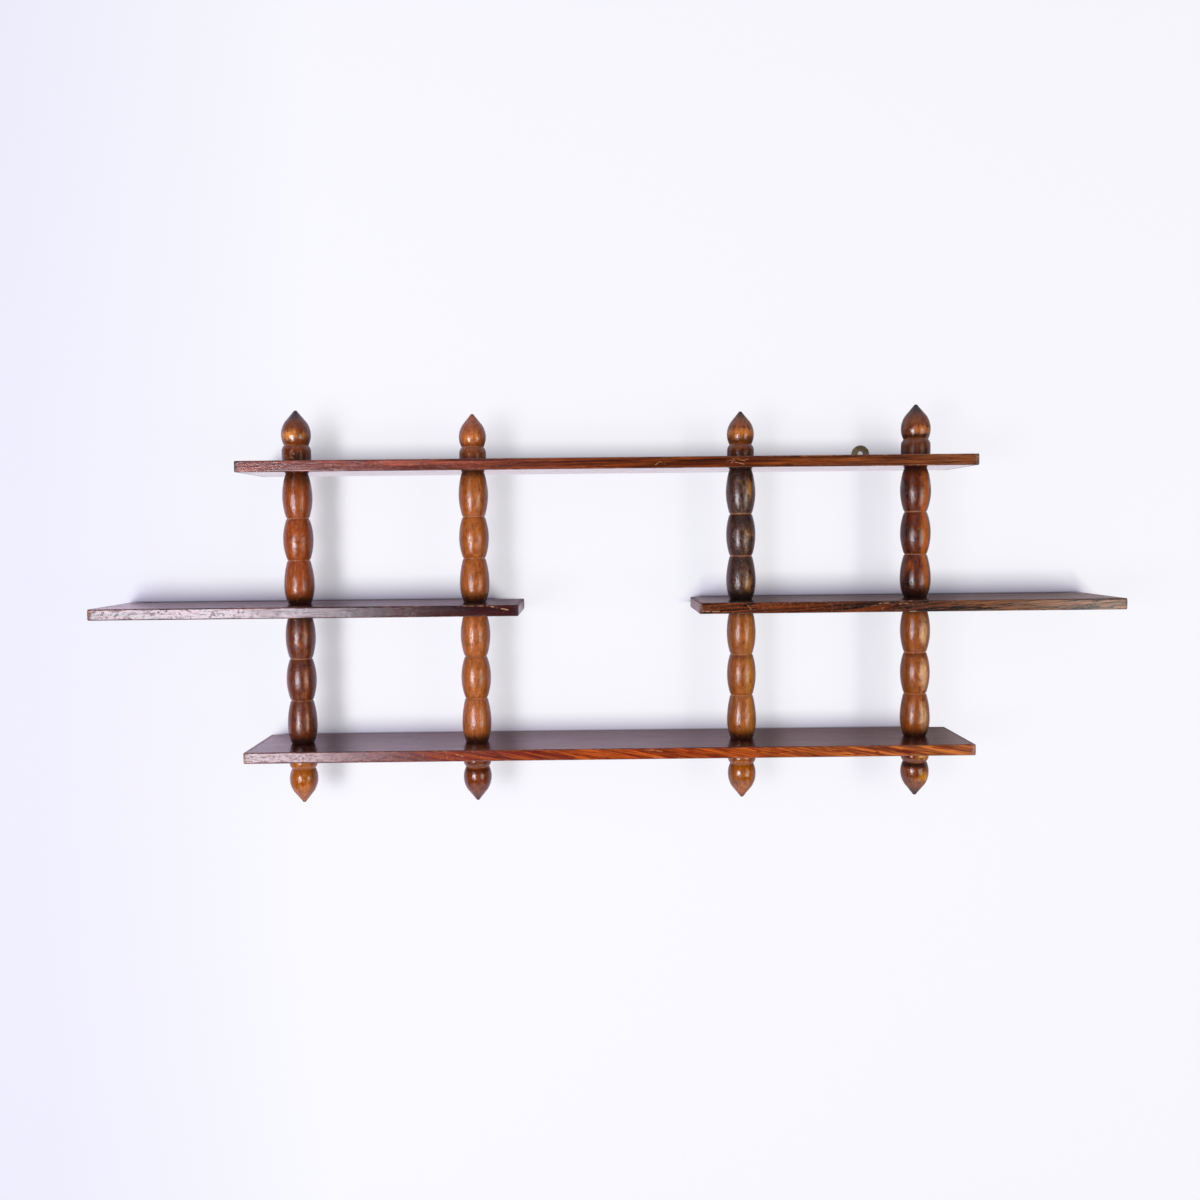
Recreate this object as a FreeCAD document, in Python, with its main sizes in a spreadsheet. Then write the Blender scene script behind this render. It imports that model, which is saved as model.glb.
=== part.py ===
"""Bobbin wall shelf: four boards between turned posts, pinned with dowels, hung on two brass plates.

Lengths are in millimetres. X runs to the right, Y into the wall and Z up.
The origin is the middle of the bottom board's back edge, in the plane of the wall.
"""
import FreeCAD
import Part
import Sketcher
import os

doc = FreeCAD.newDocument("bobbin_shelf")
sheet = doc.addObject("Spreadsheet::Sheet", "sizes")
sheet_rows = []


def size(alias, value):
    """Write one size, or a formula for one, in the next row of the sheet."""
    sheet_rows.append(alias)
    cell = "B" + str(len(sheet_rows))
    sheet.set("A" + str(len(sheet_rows)), alias)
    sheet.set(cell, value)
    sheet.setAlias(cell, alias)


driving = {
    # boards
    "board_thickness": 10,
    "board_depth": 100,
    "top_length": 655,
    "top_overhang": 43.5,
    "bottom_overhang": 42,
    "wing_reach": 176,
    "wing_inner_reach": 42.8,
    "edge_ease": 0.7,
    # posts
    "inner_post": 122.8,
    "end_bobbin": 40.3,
    "middle_bobbin": 38.4,
    "bobbin_radius": 13.5,
    "neck_radius": 10.5,
    "groove_radius": 9.7,
    "groove_half": 1.15,
    "foot_radius": 10,
    "foot_bevel": 0.8,
    "foot_widest_share": 0.42,
    # finials
    "outer_collar": 16.2,
    "outer_bud": 31.9,
    "outer_bud_radius": 13.3,
    "inner_collar": 13.1,
    "inner_bud": 30.2,
    "inner_bud_radius": 12.3,
    "under_collar": 13.4,
    "under_bud": 32,
    "under_bud_radius": 12.9,
    "collar_margin": 0.1,
    "shoulder_height": 5.4,
    "finial_neck_drop": 2.3,
    "bud_widest_share": 0.3,
    "cone_share": 0.32,
    "cone_radius_share": 0.72,
    "tip_height": 0.9,
    "tip_radius": 1.7,
    # dowels
    "dowel_radius": 5,
    "dowel_reach": 15,
    "dowel_bevel": 0.8,
    "dowel_play": 0.05,
    "dowel_end_play": 0.5,
    # hanging plates and their screws
    "right_plate_offset": 40.3,
    "left_plate_offset": 17,
    "plate_thickness": 1.5,
    "plate_length": 38,
    "plate_height": 9.4,
    "plate_play": 0.1,
    "eye_rise": 11.1,
    "eye_rim_radius": 8.3,
    "eye_hole_radius": 2.7,
    "eye_flare_drop": 2.2,
    "screw_spacing": 26,
    "screw_length": 14,
    "screw_radius": 1.4,
    "screw_point": 4,
    "screw_head_radius": 2.6,
    "screw_head_rim": 0.2,
    "screw_play": 0.05,
    "slot_width": 0.7,
    "slot_depth": 0.6,
}
for alias, number in driving.items():
    size(alias, str(number))

# sizes that follow from those above
size("outer_post", "=top_length / 2 - top_overhang")
size("bottom_length", "=2 * (outer_post + bottom_overhang)")
size("wing_end", "=outer_post + wing_reach")
size("wing_gap", "=inner_post - wing_inner_reach")
size("post_inset", "=board_depth / 2")
size("right_plate", "=outer_post - right_plate_offset")
size("left_plate", "=outer_post + left_plate_offset")
size("spindle_length", "=2 * end_bobbin + middle_bobbin")
size("half_thickness", "=board_thickness / 2")
size("middle_under", "=half_thickness + spindle_length")
size("middle_top", "=middle_under + board_thickness")
size("top_under", "=middle_top + spindle_length")
size("top_top", "=top_under + board_thickness")
size("wing_length", "=wing_end - wing_gap")
size("post_line", "=board_depth - post_inset")
size("socket_radius", "=dowel_radius + dowel_play")
size("socket_depth", "=dowel_reach + dowel_end_play")
size("dowel_length", "=board_thickness + 2 * dowel_reach")

size("foot_widest", "=end_bobbin * foot_widest_share")
size("low_groove_below", "=end_bobbin - groove_half")
size("low_groove", "=end_bobbin")
size("low_groove_above", "=end_bobbin + groove_half")
size("middle_widest", "=end_bobbin + middle_bobbin / 2")
size("high_groove_below", "=end_bobbin + middle_bobbin - groove_half")
size("high_groove", "=end_bobbin + middle_bobbin")
size("high_groove_above", "=end_bobbin + middle_bobbin + groove_half")
size("head_widest", "=spindle_length - end_bobbin / 2")
size("head_bevel_level", "=spindle_length - foot_bevel")
size("high_socket", "=spindle_length - socket_depth")

for group in ("outer", "inner", "under"):
    size(group + "_height", "=" + group + "_collar + " + group + "_bud")
    size(group + "_collar_radius", "=" + group + "_bud_radius - collar_margin")
    size(group + "_shoulder", "=" + group + "_collar - shoulder_height")
    size(group + "_neck_radius", "=" + group + "_bud_radius - finial_neck_drop")
    size(group + "_bud_widest", "=" + group + "_collar + " + group + "_bud * bud_widest_share")
    size(group + "_cone_foot", "=" + group + "_height - " + group + "_bud * cone_share")
    size(group + "_cone_radius", "=" + group + "_bud_radius * cone_radius_share")
    size(group + "_tip_level", "=" + group + "_height - tip_height")

size("dowel_face", "=dowel_radius - dowel_bevel")
size("dowel_high_bevel", "=dowel_length - dowel_bevel")

size("plate_half", "=plate_length / 2")
size("plate_end", "=plate_height / 2")
size("plate_far_end", "=plate_length - plate_end")
size("eye_level", "=plate_end + eye_rise")
size("flare_level", "=eye_level - eye_flare_drop")
size("flare_reach", "=sqrt(eye_rim_radius ^ 2 - eye_flare_drop ^ 2)")
size("flare_right", "=plate_half + flare_reach")
size("near_screw", "=plate_half - screw_spacing / 2")
size("far_screw", "=plate_half + screw_spacing / 2")
size("screw_hole_radius", "=screw_radius + screw_play")
size("sink_radius", "=screw_head_radius + screw_play")
size("sink_depth", "=screw_head_radius - screw_radius + screw_head_rim")
size("screw_neck", "=screw_length - sink_depth")
size("screw_rim", "=screw_length - screw_head_rim")
size("notch_half", "=plate_half + plate_play")
size("notch_floor", "=board_depth - plate_thickness")
size("notch_past", "=board_depth + edge_ease + plate_play")
doc.recompute()


def value(alias):
    """Give the number that a size stands at now."""
    return float(sheet.get(alias))


def bind(sketch, kind, piece, point, alias):
    """Hold one coordinate of a point of a sketch to a size."""
    index = sketch.addConstraint(Sketcher.Constraint(kind, -1, 1, piece, point, value(alias)))
    sketch.setExpression("Constraints[" + str(index) + "]", "sizes." + alias)


def place(item, across, along, up):
    """Bind where a piece stands to the sizes."""
    item.setExpression("Placement.Base.x", across)
    item.setExpression("Placement.Base.y", along)
    item.setExpression("Placement.Base.z", up)


def new_body(label):
    """Start a piece under its own name."""
    body = doc.addObject("PartDesign::Body", label)
    body.Label = label
    return body


def new_sketch(body, name, role):
    """Start a sketch on one of the piece's own planes."""
    sketch = body.newObject("Sketcher::SketchObject", body.Name + "_" + name)
    plane = [item for item in body.Origin.OriginFeatures if item.Role == role][0]
    sketch.AttachmentSupport = [(plane, "")]
    sketch.MapMode = "FlatFace"
    return sketch


def corner(step):
    """Give the point that a step of an outline leads to."""
    across = value(step[1]) if step[1] else 0.0
    up = value(step[2]) if step[2] else 0.0
    return FreeCAD.Vector(across, up, 0)


def arc_between(start, end, centre):
    """Draw an arc that runs anticlockwise from start to end."""
    radius = (start - centre).Length
    upright = FreeCAD.Vector(0, 0, 1)
    circle = Part.Circle(centre, upright, radius)
    return Part.ArcOfCircle(circle, circle.parameter(start), circle.parameter(end))


def level_centre(wide, other):
    """Give the centre, level with the wide point, of the arc through both points."""
    reach = wide.x - other.x
    radius = (reach ** 2 + (wide.y - other.y) ** 2) / (2 * reach)
    return FreeCAD.Vector(wide.x - radius, wide.y, 0)


def axis_centre(top, other):
    """Give the centre, on the axis, of the arc through both points."""
    drop = top.y - other.y
    radius = (other.x ** 2 + drop ** 2) / (2 * drop)
    return FreeCAD.Vector(0, top.y - radius, 0)


def turned(label, outline):
    """Turn a piece about its own axis from an outline that starts and ends on the axis.

    A step is a way of getting there, a radius and a height. A line is straight, a swell is an arc that is
    upright where it ends, a fall is an arc that is upright where it starts and a cap is an arc about the axis.
    """
    body = new_body(label)
    sketch = new_sketch(body, "profile", "XZ_Plane")
    count = len(outline)
    for number in range(1, count + 1):
        before = outline[number - 1]
        step = outline[number % count]
        start = corner(before)
        end = corner(step)
        way = step[0] if number < count else "line"
        if way == "line":
            sketch.addGeometry(Part.LineSegment(start, end))
        elif way == "swell":
            sketch.addGeometry(arc_between(start, end, level_centre(end, start)))
        elif way == "fall":
            sketch.addGeometry(arc_between(start, end, level_centre(start, end)))
        else:
            sketch.addGeometry(arc_between(start, end, axis_centre(end, start)))
    for number in range(count):
        sketch.addConstraint(Sketcher.Constraint("Coincident", number, 2, (number + 1) % count, 1))
    for number in range(count):
        step = outline[number]
        if step[1]:
            bind(sketch, "DistanceX", number, 1, step[1])
        else:
            sketch.addConstraint(Sketcher.Constraint("PointOnObject", number, 1, -2))
        if step[2]:
            bind(sketch, "DistanceY", number, 1, step[2])
        else:
            sketch.addConstraint(Sketcher.Constraint("PointOnObject", number, 1, -1))
    for number in range(1, count):
        piece = number - 1
        way = outline[number][0]
        if way == "swell":
            sketch.addConstraint(Sketcher.Constraint("Horizontal", piece, 3, piece, 2))
        elif way == "fall":
            sketch.addConstraint(Sketcher.Constraint("Horizontal", piece, 3, piece, 1))
        elif way == "cap":
            sketch.addConstraint(Sketcher.Constraint("PointOnObject", piece, 3, -2))
    doc.recompute()
    turning = body.newObject("PartDesign::Revolution", label + "_turning")
    turning.Profile = sketch
    turning.ReferenceAxis = (sketch, ["V_Axis"])
    turning.Angle = 360
    doc.recompute()
    return body


spindle_outline = [
    ("line", None, "socket_depth"),
    ("line", "socket_radius", "socket_depth"),
    ("line", "socket_radius", None),
    ("line", "foot_radius", None),
    ("line", "neck_radius", "foot_bevel"),
    ("swell", "bobbin_radius", "foot_widest"),
    ("fall", "neck_radius", "low_groove_below"),
    ("line", "groove_radius", "low_groove"),
    ("line", "neck_radius", "low_groove_above"),
    ("swell", "bobbin_radius", "middle_widest"),
    ("fall", "neck_radius", "high_groove_below"),
    ("line", "groove_radius", "high_groove"),
    ("line", "neck_radius", "high_groove_above"),
    ("swell", "bobbin_radius", "head_widest"),
    ("fall", "neck_radius", "head_bevel_level"),
    ("line", "foot_radius", "spindle_length"),
    ("line", "socket_radius", "spindle_length"),
    ("line", "socket_radius", "high_socket"),
    ("line", None, "high_socket"),
]


def finial_outline(group):
    """Give the outline of a finial: a collar, a neck and a pointed bud."""
    return [
        ("line", None, "socket_depth"),
        ("line", "socket_radius", "socket_depth"),
        ("line", "socket_radius", None),
        ("line", group + "_collar_radius", None),
        ("line", group + "_collar_radius", group + "_shoulder"),
        ("fall", group + "_neck_radius", group + "_collar"),
        ("swell", group + "_bud_radius", group + "_bud_widest"),
        ("fall", group + "_cone_radius", group + "_cone_foot"),
        ("line", "tip_radius", group + "_tip_level"),
        ("cap", None, group + "_height"),
    ]


dowel_outline = [
    ("line", None, None),
    ("line", "dowel_face", None),
    ("line", "dowel_radius", "dowel_bevel"),
    ("line", "dowel_radius", "dowel_high_bevel"),
    ("line", "dowel_face", "dowel_length"),
    ("line", None, "dowel_length"),
]

screw_outline = [
    ("line", None, None),
    ("line", "screw_radius", "screw_point"),
    ("line", "screw_radius", "screw_neck"),
    ("line", "screw_head_radius", "screw_rim"),
    ("line", "screw_head_radius", "screw_length"),
    ("line", None, "screw_length"),
]


def rectangle(sketch, left, near, right, far):
    """Draw a rectangle between four sizes, or from an axis where a size is missing."""
    low = corner(("line", left, near))
    high = corner(("line", right, far))
    ends = [low, FreeCAD.Vector(high.x, low.y, 0), high, FreeCAD.Vector(low.x, high.y, 0)]
    first = sketch.GeometryCount
    for number in range(4):
        sketch.addGeometry(Part.LineSegment(ends[number], ends[(number + 1) % 4]))
    for number in range(4):
        following = first + (number + 1) % 4
        sketch.addConstraint(Sketcher.Constraint("Coincident", first + number, 2, following, 1))
    sketch.addConstraint(Sketcher.Constraint("Horizontal", first))
    sketch.addConstraint(Sketcher.Constraint("Vertical", first + 1))
    sketch.addConstraint(Sketcher.Constraint("Horizontal", first + 2))
    sketch.addConstraint(Sketcher.Constraint("Vertical", first + 3))
    if left:
        bind(sketch, "DistanceX", first, 1, left)
    else:
        sketch.addConstraint(Sketcher.Constraint("PointOnObject", first, 1, -2))
    if near:
        bind(sketch, "DistanceY", first, 1, near)
    else:
        sketch.addConstraint(Sketcher.Constraint("PointOnObject", first, 1, -1))
    bind(sketch, "DistanceX", first + 2, 1, right)
    bind(sketch, "DistanceY", first + 2, 1, far)


def ring(sketch, across, up, radius):
    """Draw a circle whose middle and radius are sizes."""
    upright = FreeCAD.Vector(0, 0, 1)
    circle = Part.Circle(corner(("line", across, up)), upright, value(radius))
    number = sketch.addGeometry(circle)
    bind(sketch, "DistanceX", number, 3, across)
    bind(sketch, "DistanceY", number, 3, up)
    index = sketch.addConstraint(Sketcher.Constraint("Radius", number, value(radius)))
    sketch.setExpression("Constraints[" + str(index) + "]", "sizes." + radius)


def board(label, length, pins, plates):
    """Cut one board, eased on every edge, with a hole for each dowel and a notch for each plate."""
    body = new_body(label)
    sketch = new_sketch(body, "outline", "XY_Plane")
    rectangle(sketch, None, None, length, "board_depth")
    doc.recompute()
    slab = body.newObject("PartDesign::Pad", label + "_slab")
    slab.Profile = sketch
    slab.setExpression("Length", "sizes.board_thickness")
    doc.recompute()
    eased = body.newObject("PartDesign::Fillet", label + "_eased")
    eased.Base = (slab, ["Edge" + str(number + 1) for number in range(len(slab.Shape.Edges))])
    eased.setExpression("Radius", "sizes.edge_ease")
    doc.recompute()
    cuts = new_sketch(body, "cuts", "XY_Plane")
    for pin in pins:
        ring(cuts, pin, "post_line", "socket_radius")
    for plate in plates:
        rectangle(cuts, plate + "_notch_left", "notch_floor", plate + "_notch_right", "notch_past")
    doc.recompute()
    drilled = body.newObject("PartDesign::Pocket", label + "_drilled")
    drilled.Profile = cuts
    drilled.Type = "ThroughAll"
    drilled.Reversed = True
    doc.recompute()
    for plate in plates:
        for hand in ("near", "far"):
            pilot = body.newObject("PartDesign::SubtractiveCylinder", plate + "_" + hand + "_pilot")
            pilot.Placement.Rotation = FreeCAD.Rotation(FreeCAD.Vector(1, 0, 0), 90)
            pilot.setExpression("Radius", "sizes.screw_hole_radius")
            pilot.setExpression("Height", "sizes.screw_length + sizes.dowel_end_play")
            across = "sizes." + plate + "_" + hand + "_pilot_place"
            place(pilot, across, "sizes.board_depth", "sizes.half_thickness")
            doc.recompute()
    return body


posts = ["far_left", "inner_left", "inner_right", "far_right"]
post_place = {
    "far_left": "-sizes.outer_post",
    "inner_left": "-sizes.inner_post",
    "inner_right": "sizes.inner_post",
    "far_right": "sizes.outer_post",
}
post_offset = {
    "far_left": " - outer_post",
    "inner_left": " - inner_post",
    "inner_right": " + inner_post",
    "far_right": " + outer_post",
}
finial_group = {
    "far_left": "outer",
    "inner_left": "inner",
    "inner_right": "inner",
    "far_right": "outer",
}
underside = {
    "top": "sizes.top_under",
    "middle": "sizes.middle_under",
    "bottom": "-sizes.half_thickness",
}
plate_place = {"left_hanger": "-sizes.left_plate", "right_hanger": "sizes.right_plate"}
plate_offset = {"left_hanger": " - left_plate", "right_hanger": " + right_plate"}

for post in posts:
    size("top_pin_" + post, "=top_length / 2" + post_offset[post])
    size("bottom_pin_" + post, "=bottom_length / 2" + post_offset[post])
size("left_pin_far_left", "=wing_end - outer_post")
size("left_pin_inner_left", "=wing_end - inner_post")
size("right_pin_inner_right", "=inner_post - wing_gap")
size("right_pin_far_right", "=outer_post - wing_gap")
for plate in plate_place:
    centre = "top_length / 2" + plate_offset[plate]
    size(plate + "_notch_left", "=" + centre + " - notch_half")
    size(plate + "_notch_right", "=" + centre + " + notch_half")
    size(plate + "_near_pilot_place", "=" + centre + " - screw_spacing / 2")
    size(plate + "_far_pilot_place", "=" + centre + " + screw_spacing / 2")
doc.recompute()

pieces = []

top_shelf = board("top_shelf", "top_length", ["top_pin_" + post for post in posts], list(plate_place))
place(top_shelf, "-sizes.top_length / 2", "-sizes.board_depth", "sizes.top_under")
pieces.append(top_shelf)

left_pins = ["left_pin_far_left", "left_pin_inner_left"]
left_shelf = board("left_middle_shelf", "wing_length", left_pins, [])
place(left_shelf, "-sizes.wing_end", "-sizes.board_depth", "sizes.middle_under")
pieces.append(left_shelf)

right_pins = ["right_pin_inner_right", "right_pin_far_right"]
right_shelf = board("right_middle_shelf", "wing_length", right_pins, [])
place(right_shelf, "sizes.wing_gap", "-sizes.board_depth", "sizes.middle_under")
pieces.append(right_shelf)

bottom_shelf = board("bottom_shelf", "bottom_length", ["bottom_pin_" + post for post in posts], [])
place(bottom_shelf, "-sizes.bottom_length / 2", "-sizes.board_depth", "-sizes.half_thickness")
pieces.append(bottom_shelf)

for post in posts:
    across = post_place[post]
    group = finial_group[post]

    top_finial = turned(post + "_top_finial", finial_outline(group))
    place(top_finial, across, "-sizes.post_inset", "sizes.top_top")
    pieces.append(top_finial)

    upper_spindle = turned(post + "_upper_spindle", spindle_outline)
    place(upper_spindle, across, "-sizes.post_inset", "sizes.middle_top")
    pieces.append(upper_spindle)

    lower_spindle = turned(post + "_lower_spindle", spindle_outline)
    place(lower_spindle, across, "-sizes.post_inset", "sizes.half_thickness")
    pieces.append(lower_spindle)

    bottom_finial = turned(post + "_bottom_finial", finial_outline("under"))
    bottom_finial.Placement.Rotation = FreeCAD.Rotation(FreeCAD.Vector(1, 0, 0), 180)
    place(bottom_finial, across, "-sizes.post_inset", "-sizes.half_thickness")
    pieces.append(bottom_finial)

    for level, under in underside.items():
        dowel = turned(post + "_" + level + "_dowel", dowel_outline)
        place(dowel, across, "-sizes.post_inset", under + " - sizes.dowel_reach")
        pieces.append(dowel)


def hanger_plate(label):
    """Cut a plate with an eye above a bar that has two countersunk holes."""
    body = new_body(label)
    sketch = new_sketch(body, "outline", "XZ_Plane")
    low_left = corner(("line", "plate_end", None))
    low_right = corner(("line", "plate_far_end", None))
    high_right = corner(("line", "plate_far_end", "plate_height"))
    high_left = corner(("line", "plate_end", "plate_height"))
    flare_right = corner(("line", "flare_right", "flare_level"))
    eye = corner(("line", "plate_half", "eye_level"))
    flare_left = FreeCAD.Vector(2 * eye.x - flare_right.x, flare_right.y, 0)
    right_end = corner(("line", "plate_far_end", "plate_end"))
    left_end = corner(("line", "plate_end", "plate_end"))
    sketch.addGeometry(Part.LineSegment(low_left, low_right))
    sketch.addGeometry(arc_between(low_right, high_right, right_end))
    sketch.addGeometry(Part.LineSegment(high_right, flare_right))
    sketch.addGeometry(arc_between(flare_right, flare_left, eye))
    sketch.addGeometry(Part.LineSegment(flare_left, high_left))
    sketch.addGeometry(arc_between(high_left, low_left, left_end))
    for number in range(6):
        sketch.addConstraint(Sketcher.Constraint("Coincident", number, 2, (number + 1) % 6, 1))
    sketch.addConstraint(Sketcher.Constraint("PointOnObject", 0, 1, -1))
    sketch.addConstraint(Sketcher.Constraint("PointOnObject", 0, 2, -1))
    bind(sketch, "DistanceX", 0, 1, "plate_end")
    bind(sketch, "DistanceX", 0, 2, "plate_far_end")
    bind(sketch, "DistanceX", 2, 1, "plate_far_end")
    bind(sketch, "DistanceY", 2, 1, "plate_height")
    bind(sketch, "DistanceX", 5, 1, "plate_end")
    bind(sketch, "DistanceY", 5, 1, "plate_height")
    sketch.addConstraint(Sketcher.Constraint("Vertical", 1, 3, 1, 1))
    sketch.addConstraint(Sketcher.Constraint("Vertical", 5, 3, 5, 1))
    bind(sketch, "DistanceX", 3, 3, "plate_half")
    bind(sketch, "DistanceY", 3, 3, "eye_level")
    bind(sketch, "DistanceX", 3, 1, "flare_right")
    bind(sketch, "DistanceY", 3, 1, "flare_level")
    sketch.addConstraint(Sketcher.Constraint("Horizontal", 3, 1, 3, 2))
    ring(sketch, "plate_half", "eye_level", "eye_hole_radius")
    ring(sketch, "near_screw", "plate_end", "screw_hole_radius")
    ring(sketch, "far_screw", "plate_end", "screw_hole_radius")
    doc.recompute()
    sheet_metal = body.newObject("PartDesign::Pad", label + "_sheet")
    sheet_metal.Profile = sketch
    sheet_metal.setExpression("Length", "sizes.plate_thickness")
    doc.recompute()
    for hand in ("near", "far"):
        sink = body.newObject("PartDesign::SubtractiveCone", label + "_" + hand + "_sink")
        sink.Placement.Rotation = FreeCAD.Rotation(FreeCAD.Vector(1, 0, 0), 90)
        sink.setExpression("Radius1", "sizes.sink_radius")
        sink.setExpression("Radius2", "sizes.screw_hole_radius")
        sink.setExpression("Height", "sizes.sink_depth")
        place(sink, "sizes." + hand + "_screw", "0", "sizes.plate_end")
        doc.recompute()
    return body


def wood_screw(label):
    """Turn a countersunk screw and cut the slot in its head."""
    body = turned(label, screw_outline)
    slot = body.newObject("PartDesign::SubtractiveBox", label + "_slot")
    slot.setExpression("Length", "2 * sizes.sink_radius")
    slot.setExpression("Width", "sizes.slot_width")
    slot.setExpression("Height", "sizes.slot_depth")
    place(slot, "-sizes.sink_radius", "-sizes.slot_width / 2", "sizes.screw_length - sizes.slot_depth")
    doc.recompute()
    return body


for plate in plate_place:
    hanger = hanger_plate(plate + "_plate")
    board_middle = "sizes.top_under + sizes.half_thickness"
    place(hanger, plate_place[plate] + " - sizes.plate_half", "0", board_middle + " - sizes.plate_end")
    pieces.append(hanger)
    for hand, side in (("near", " - "), ("far", " + ")):
        screw = wood_screw(plate + "_" + hand + "_screw")
        screw.Placement.Rotation = FreeCAD.Rotation(FreeCAD.Vector(1, 0, 0), -90)
        place(screw, plate_place[plate] + side + "sizes.screw_spacing / 2", "-sizes.screw_length", board_middle)
        pieces.append(screw)

doc.recompute()

for item in doc.Objects:
    if "Invalid" in item.State or "Error" in item.State:
        raise RuntimeError("not built: " + item.Label)

os.makedirs("parts", exist_ok=True)
for piece in pieces:
    if piece.Shape.isNull() or not piece.Shape.isValid() or len(piece.Shape.Solids) != 1:
        raise RuntimeError("not one sound solid: " + piece.Label)
    piece.Shape.exportStep("parts/" + piece.Label + ".step")
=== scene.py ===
"""Bobbin wall shelf: stained boards between turned posts, on a pale wall."""
import bpy
import bmesh
import math
import random
from collections import namedtuple
from mathutils import Color, Matrix, Vector, noise


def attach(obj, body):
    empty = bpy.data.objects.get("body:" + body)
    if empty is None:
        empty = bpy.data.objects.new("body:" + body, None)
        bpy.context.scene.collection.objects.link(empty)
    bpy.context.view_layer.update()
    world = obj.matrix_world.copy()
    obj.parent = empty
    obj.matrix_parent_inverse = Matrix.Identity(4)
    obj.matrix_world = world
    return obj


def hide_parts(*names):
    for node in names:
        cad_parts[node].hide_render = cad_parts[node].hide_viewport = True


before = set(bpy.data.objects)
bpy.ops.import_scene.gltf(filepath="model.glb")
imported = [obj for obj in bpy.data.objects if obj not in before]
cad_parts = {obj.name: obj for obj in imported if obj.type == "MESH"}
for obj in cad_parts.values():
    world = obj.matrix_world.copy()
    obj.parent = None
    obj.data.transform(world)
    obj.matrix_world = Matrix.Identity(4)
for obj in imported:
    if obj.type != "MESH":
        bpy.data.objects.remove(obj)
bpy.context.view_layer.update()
scene = bpy.context.scene

# sizes in metres, as in the part's source
MM = 0.001
BOARD_THICK = 10 * MM
BOARD_DEPTH = 100 * MM
TOP_LENGTH = 655 * MM
BOTTOM_LENGTH = 652 * MM
WING_END = 460 * MM
WING_GAP = 80 * MM
OUTER_POST = 284 * MM
INNER_POST = 122.8 * MM
HALF_DEPTH = BOARD_DEPTH / 2
POST_LINE = -HALF_DEPTH
END_BOBBIN = 40.3 * MM
MIDDLE_BOBBIN = 38.4 * MM
SPINDLE_LENGTH = 2 * END_BOBBIN + MIDDLE_BOBBIN
BOBBIN_RADIUS = 13.5 * MM
NECK_RADIUS = 10.5 * MM
GROOVE_RADIUS = 9.7 * MM
GROOVE_HALF = 1.15 * MM
FOOT_RADIUS = 10 * MM
FOOT_BEVEL = 0.8 * MM
FOOT_WIDEST_SHARE = 0.42
SOCKET_RADIUS = 5.05 * MM
SOCKET_DEPTH = 15.5 * MM
SHOULDER_HEIGHT = 5.4 * MM
NECK_DROP = 2.3 * MM
BUD_WIDEST_SHARE = 0.3
CONE_SHARE = 0.32
CONE_RADIUS_SHARE = 0.72
TIP_HEIGHT = 0.9 * MM
TIP_RADIUS = 1.7 * MM
HALF_THICK = BOARD_THICK / 2
MIDDLE_UNDER = HALF_THICK + SPINDLE_LENGTH
MIDDLE_TOP = MIDDLE_UNDER + BOARD_THICK
TOP_UNDER = MIDDLE_TOP + SPINDLE_LENGTH
TOP_TOP = TOP_UNDER + BOARD_THICK
PLATE_THICK = 1.5 * MM
PLATE_LENGTH = 38 * MM
PLATE_PLAY = 0.1 * MM
RIGHT_PLATE = 243.7 * MM
LEFT_PLATE = -301 * MM
POSTS = {
    "far_left": -OUTER_POST,
    "inner_left": -INNER_POST,
    "inner_right": INNER_POST,
    "far_right": OUTER_POST,
}
SCREEN_WHITE = 255


def linear(*screen):
    """Turn a colour's screen values from 0 to 255 into light."""
    return tuple(Color([value / SCREEN_WHITE for value in screen]).from_srgb_to_scene_linear())


def tone(red, green, blue):
    """Give a colour from screen values."""
    return (*linear(red, green, blue), 1.0)


# the varnish adds its sheen to a colour, and the light shows the rest of the colour a little too dark
SHEEN = 0.018
SHADE_GAIN = 1.22
DARKEST = 0.0015


def stain(red, green, blue):
    """Give the base colour of varnished wood that reads as a screen colour under its sheen."""
    parts = [max(DARKEST, (value - SHEEN) * SHADE_GAIN) for value in linear(red, green, blue)]
    return (*parts, 1.0)


# the colour sockets of a mix node go by number, because its other sockets have the same names
MIX_SHARE = 0
MIX_FIRST = 6
MIX_SECOND = 7
MIX_RESULT = 2
NOISE_MIDDLE = 0.5
RAGGED_SPAN = (0.2, 0.85)
POINT_CORE = 0.35
LINE_CORE = 0.3


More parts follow.
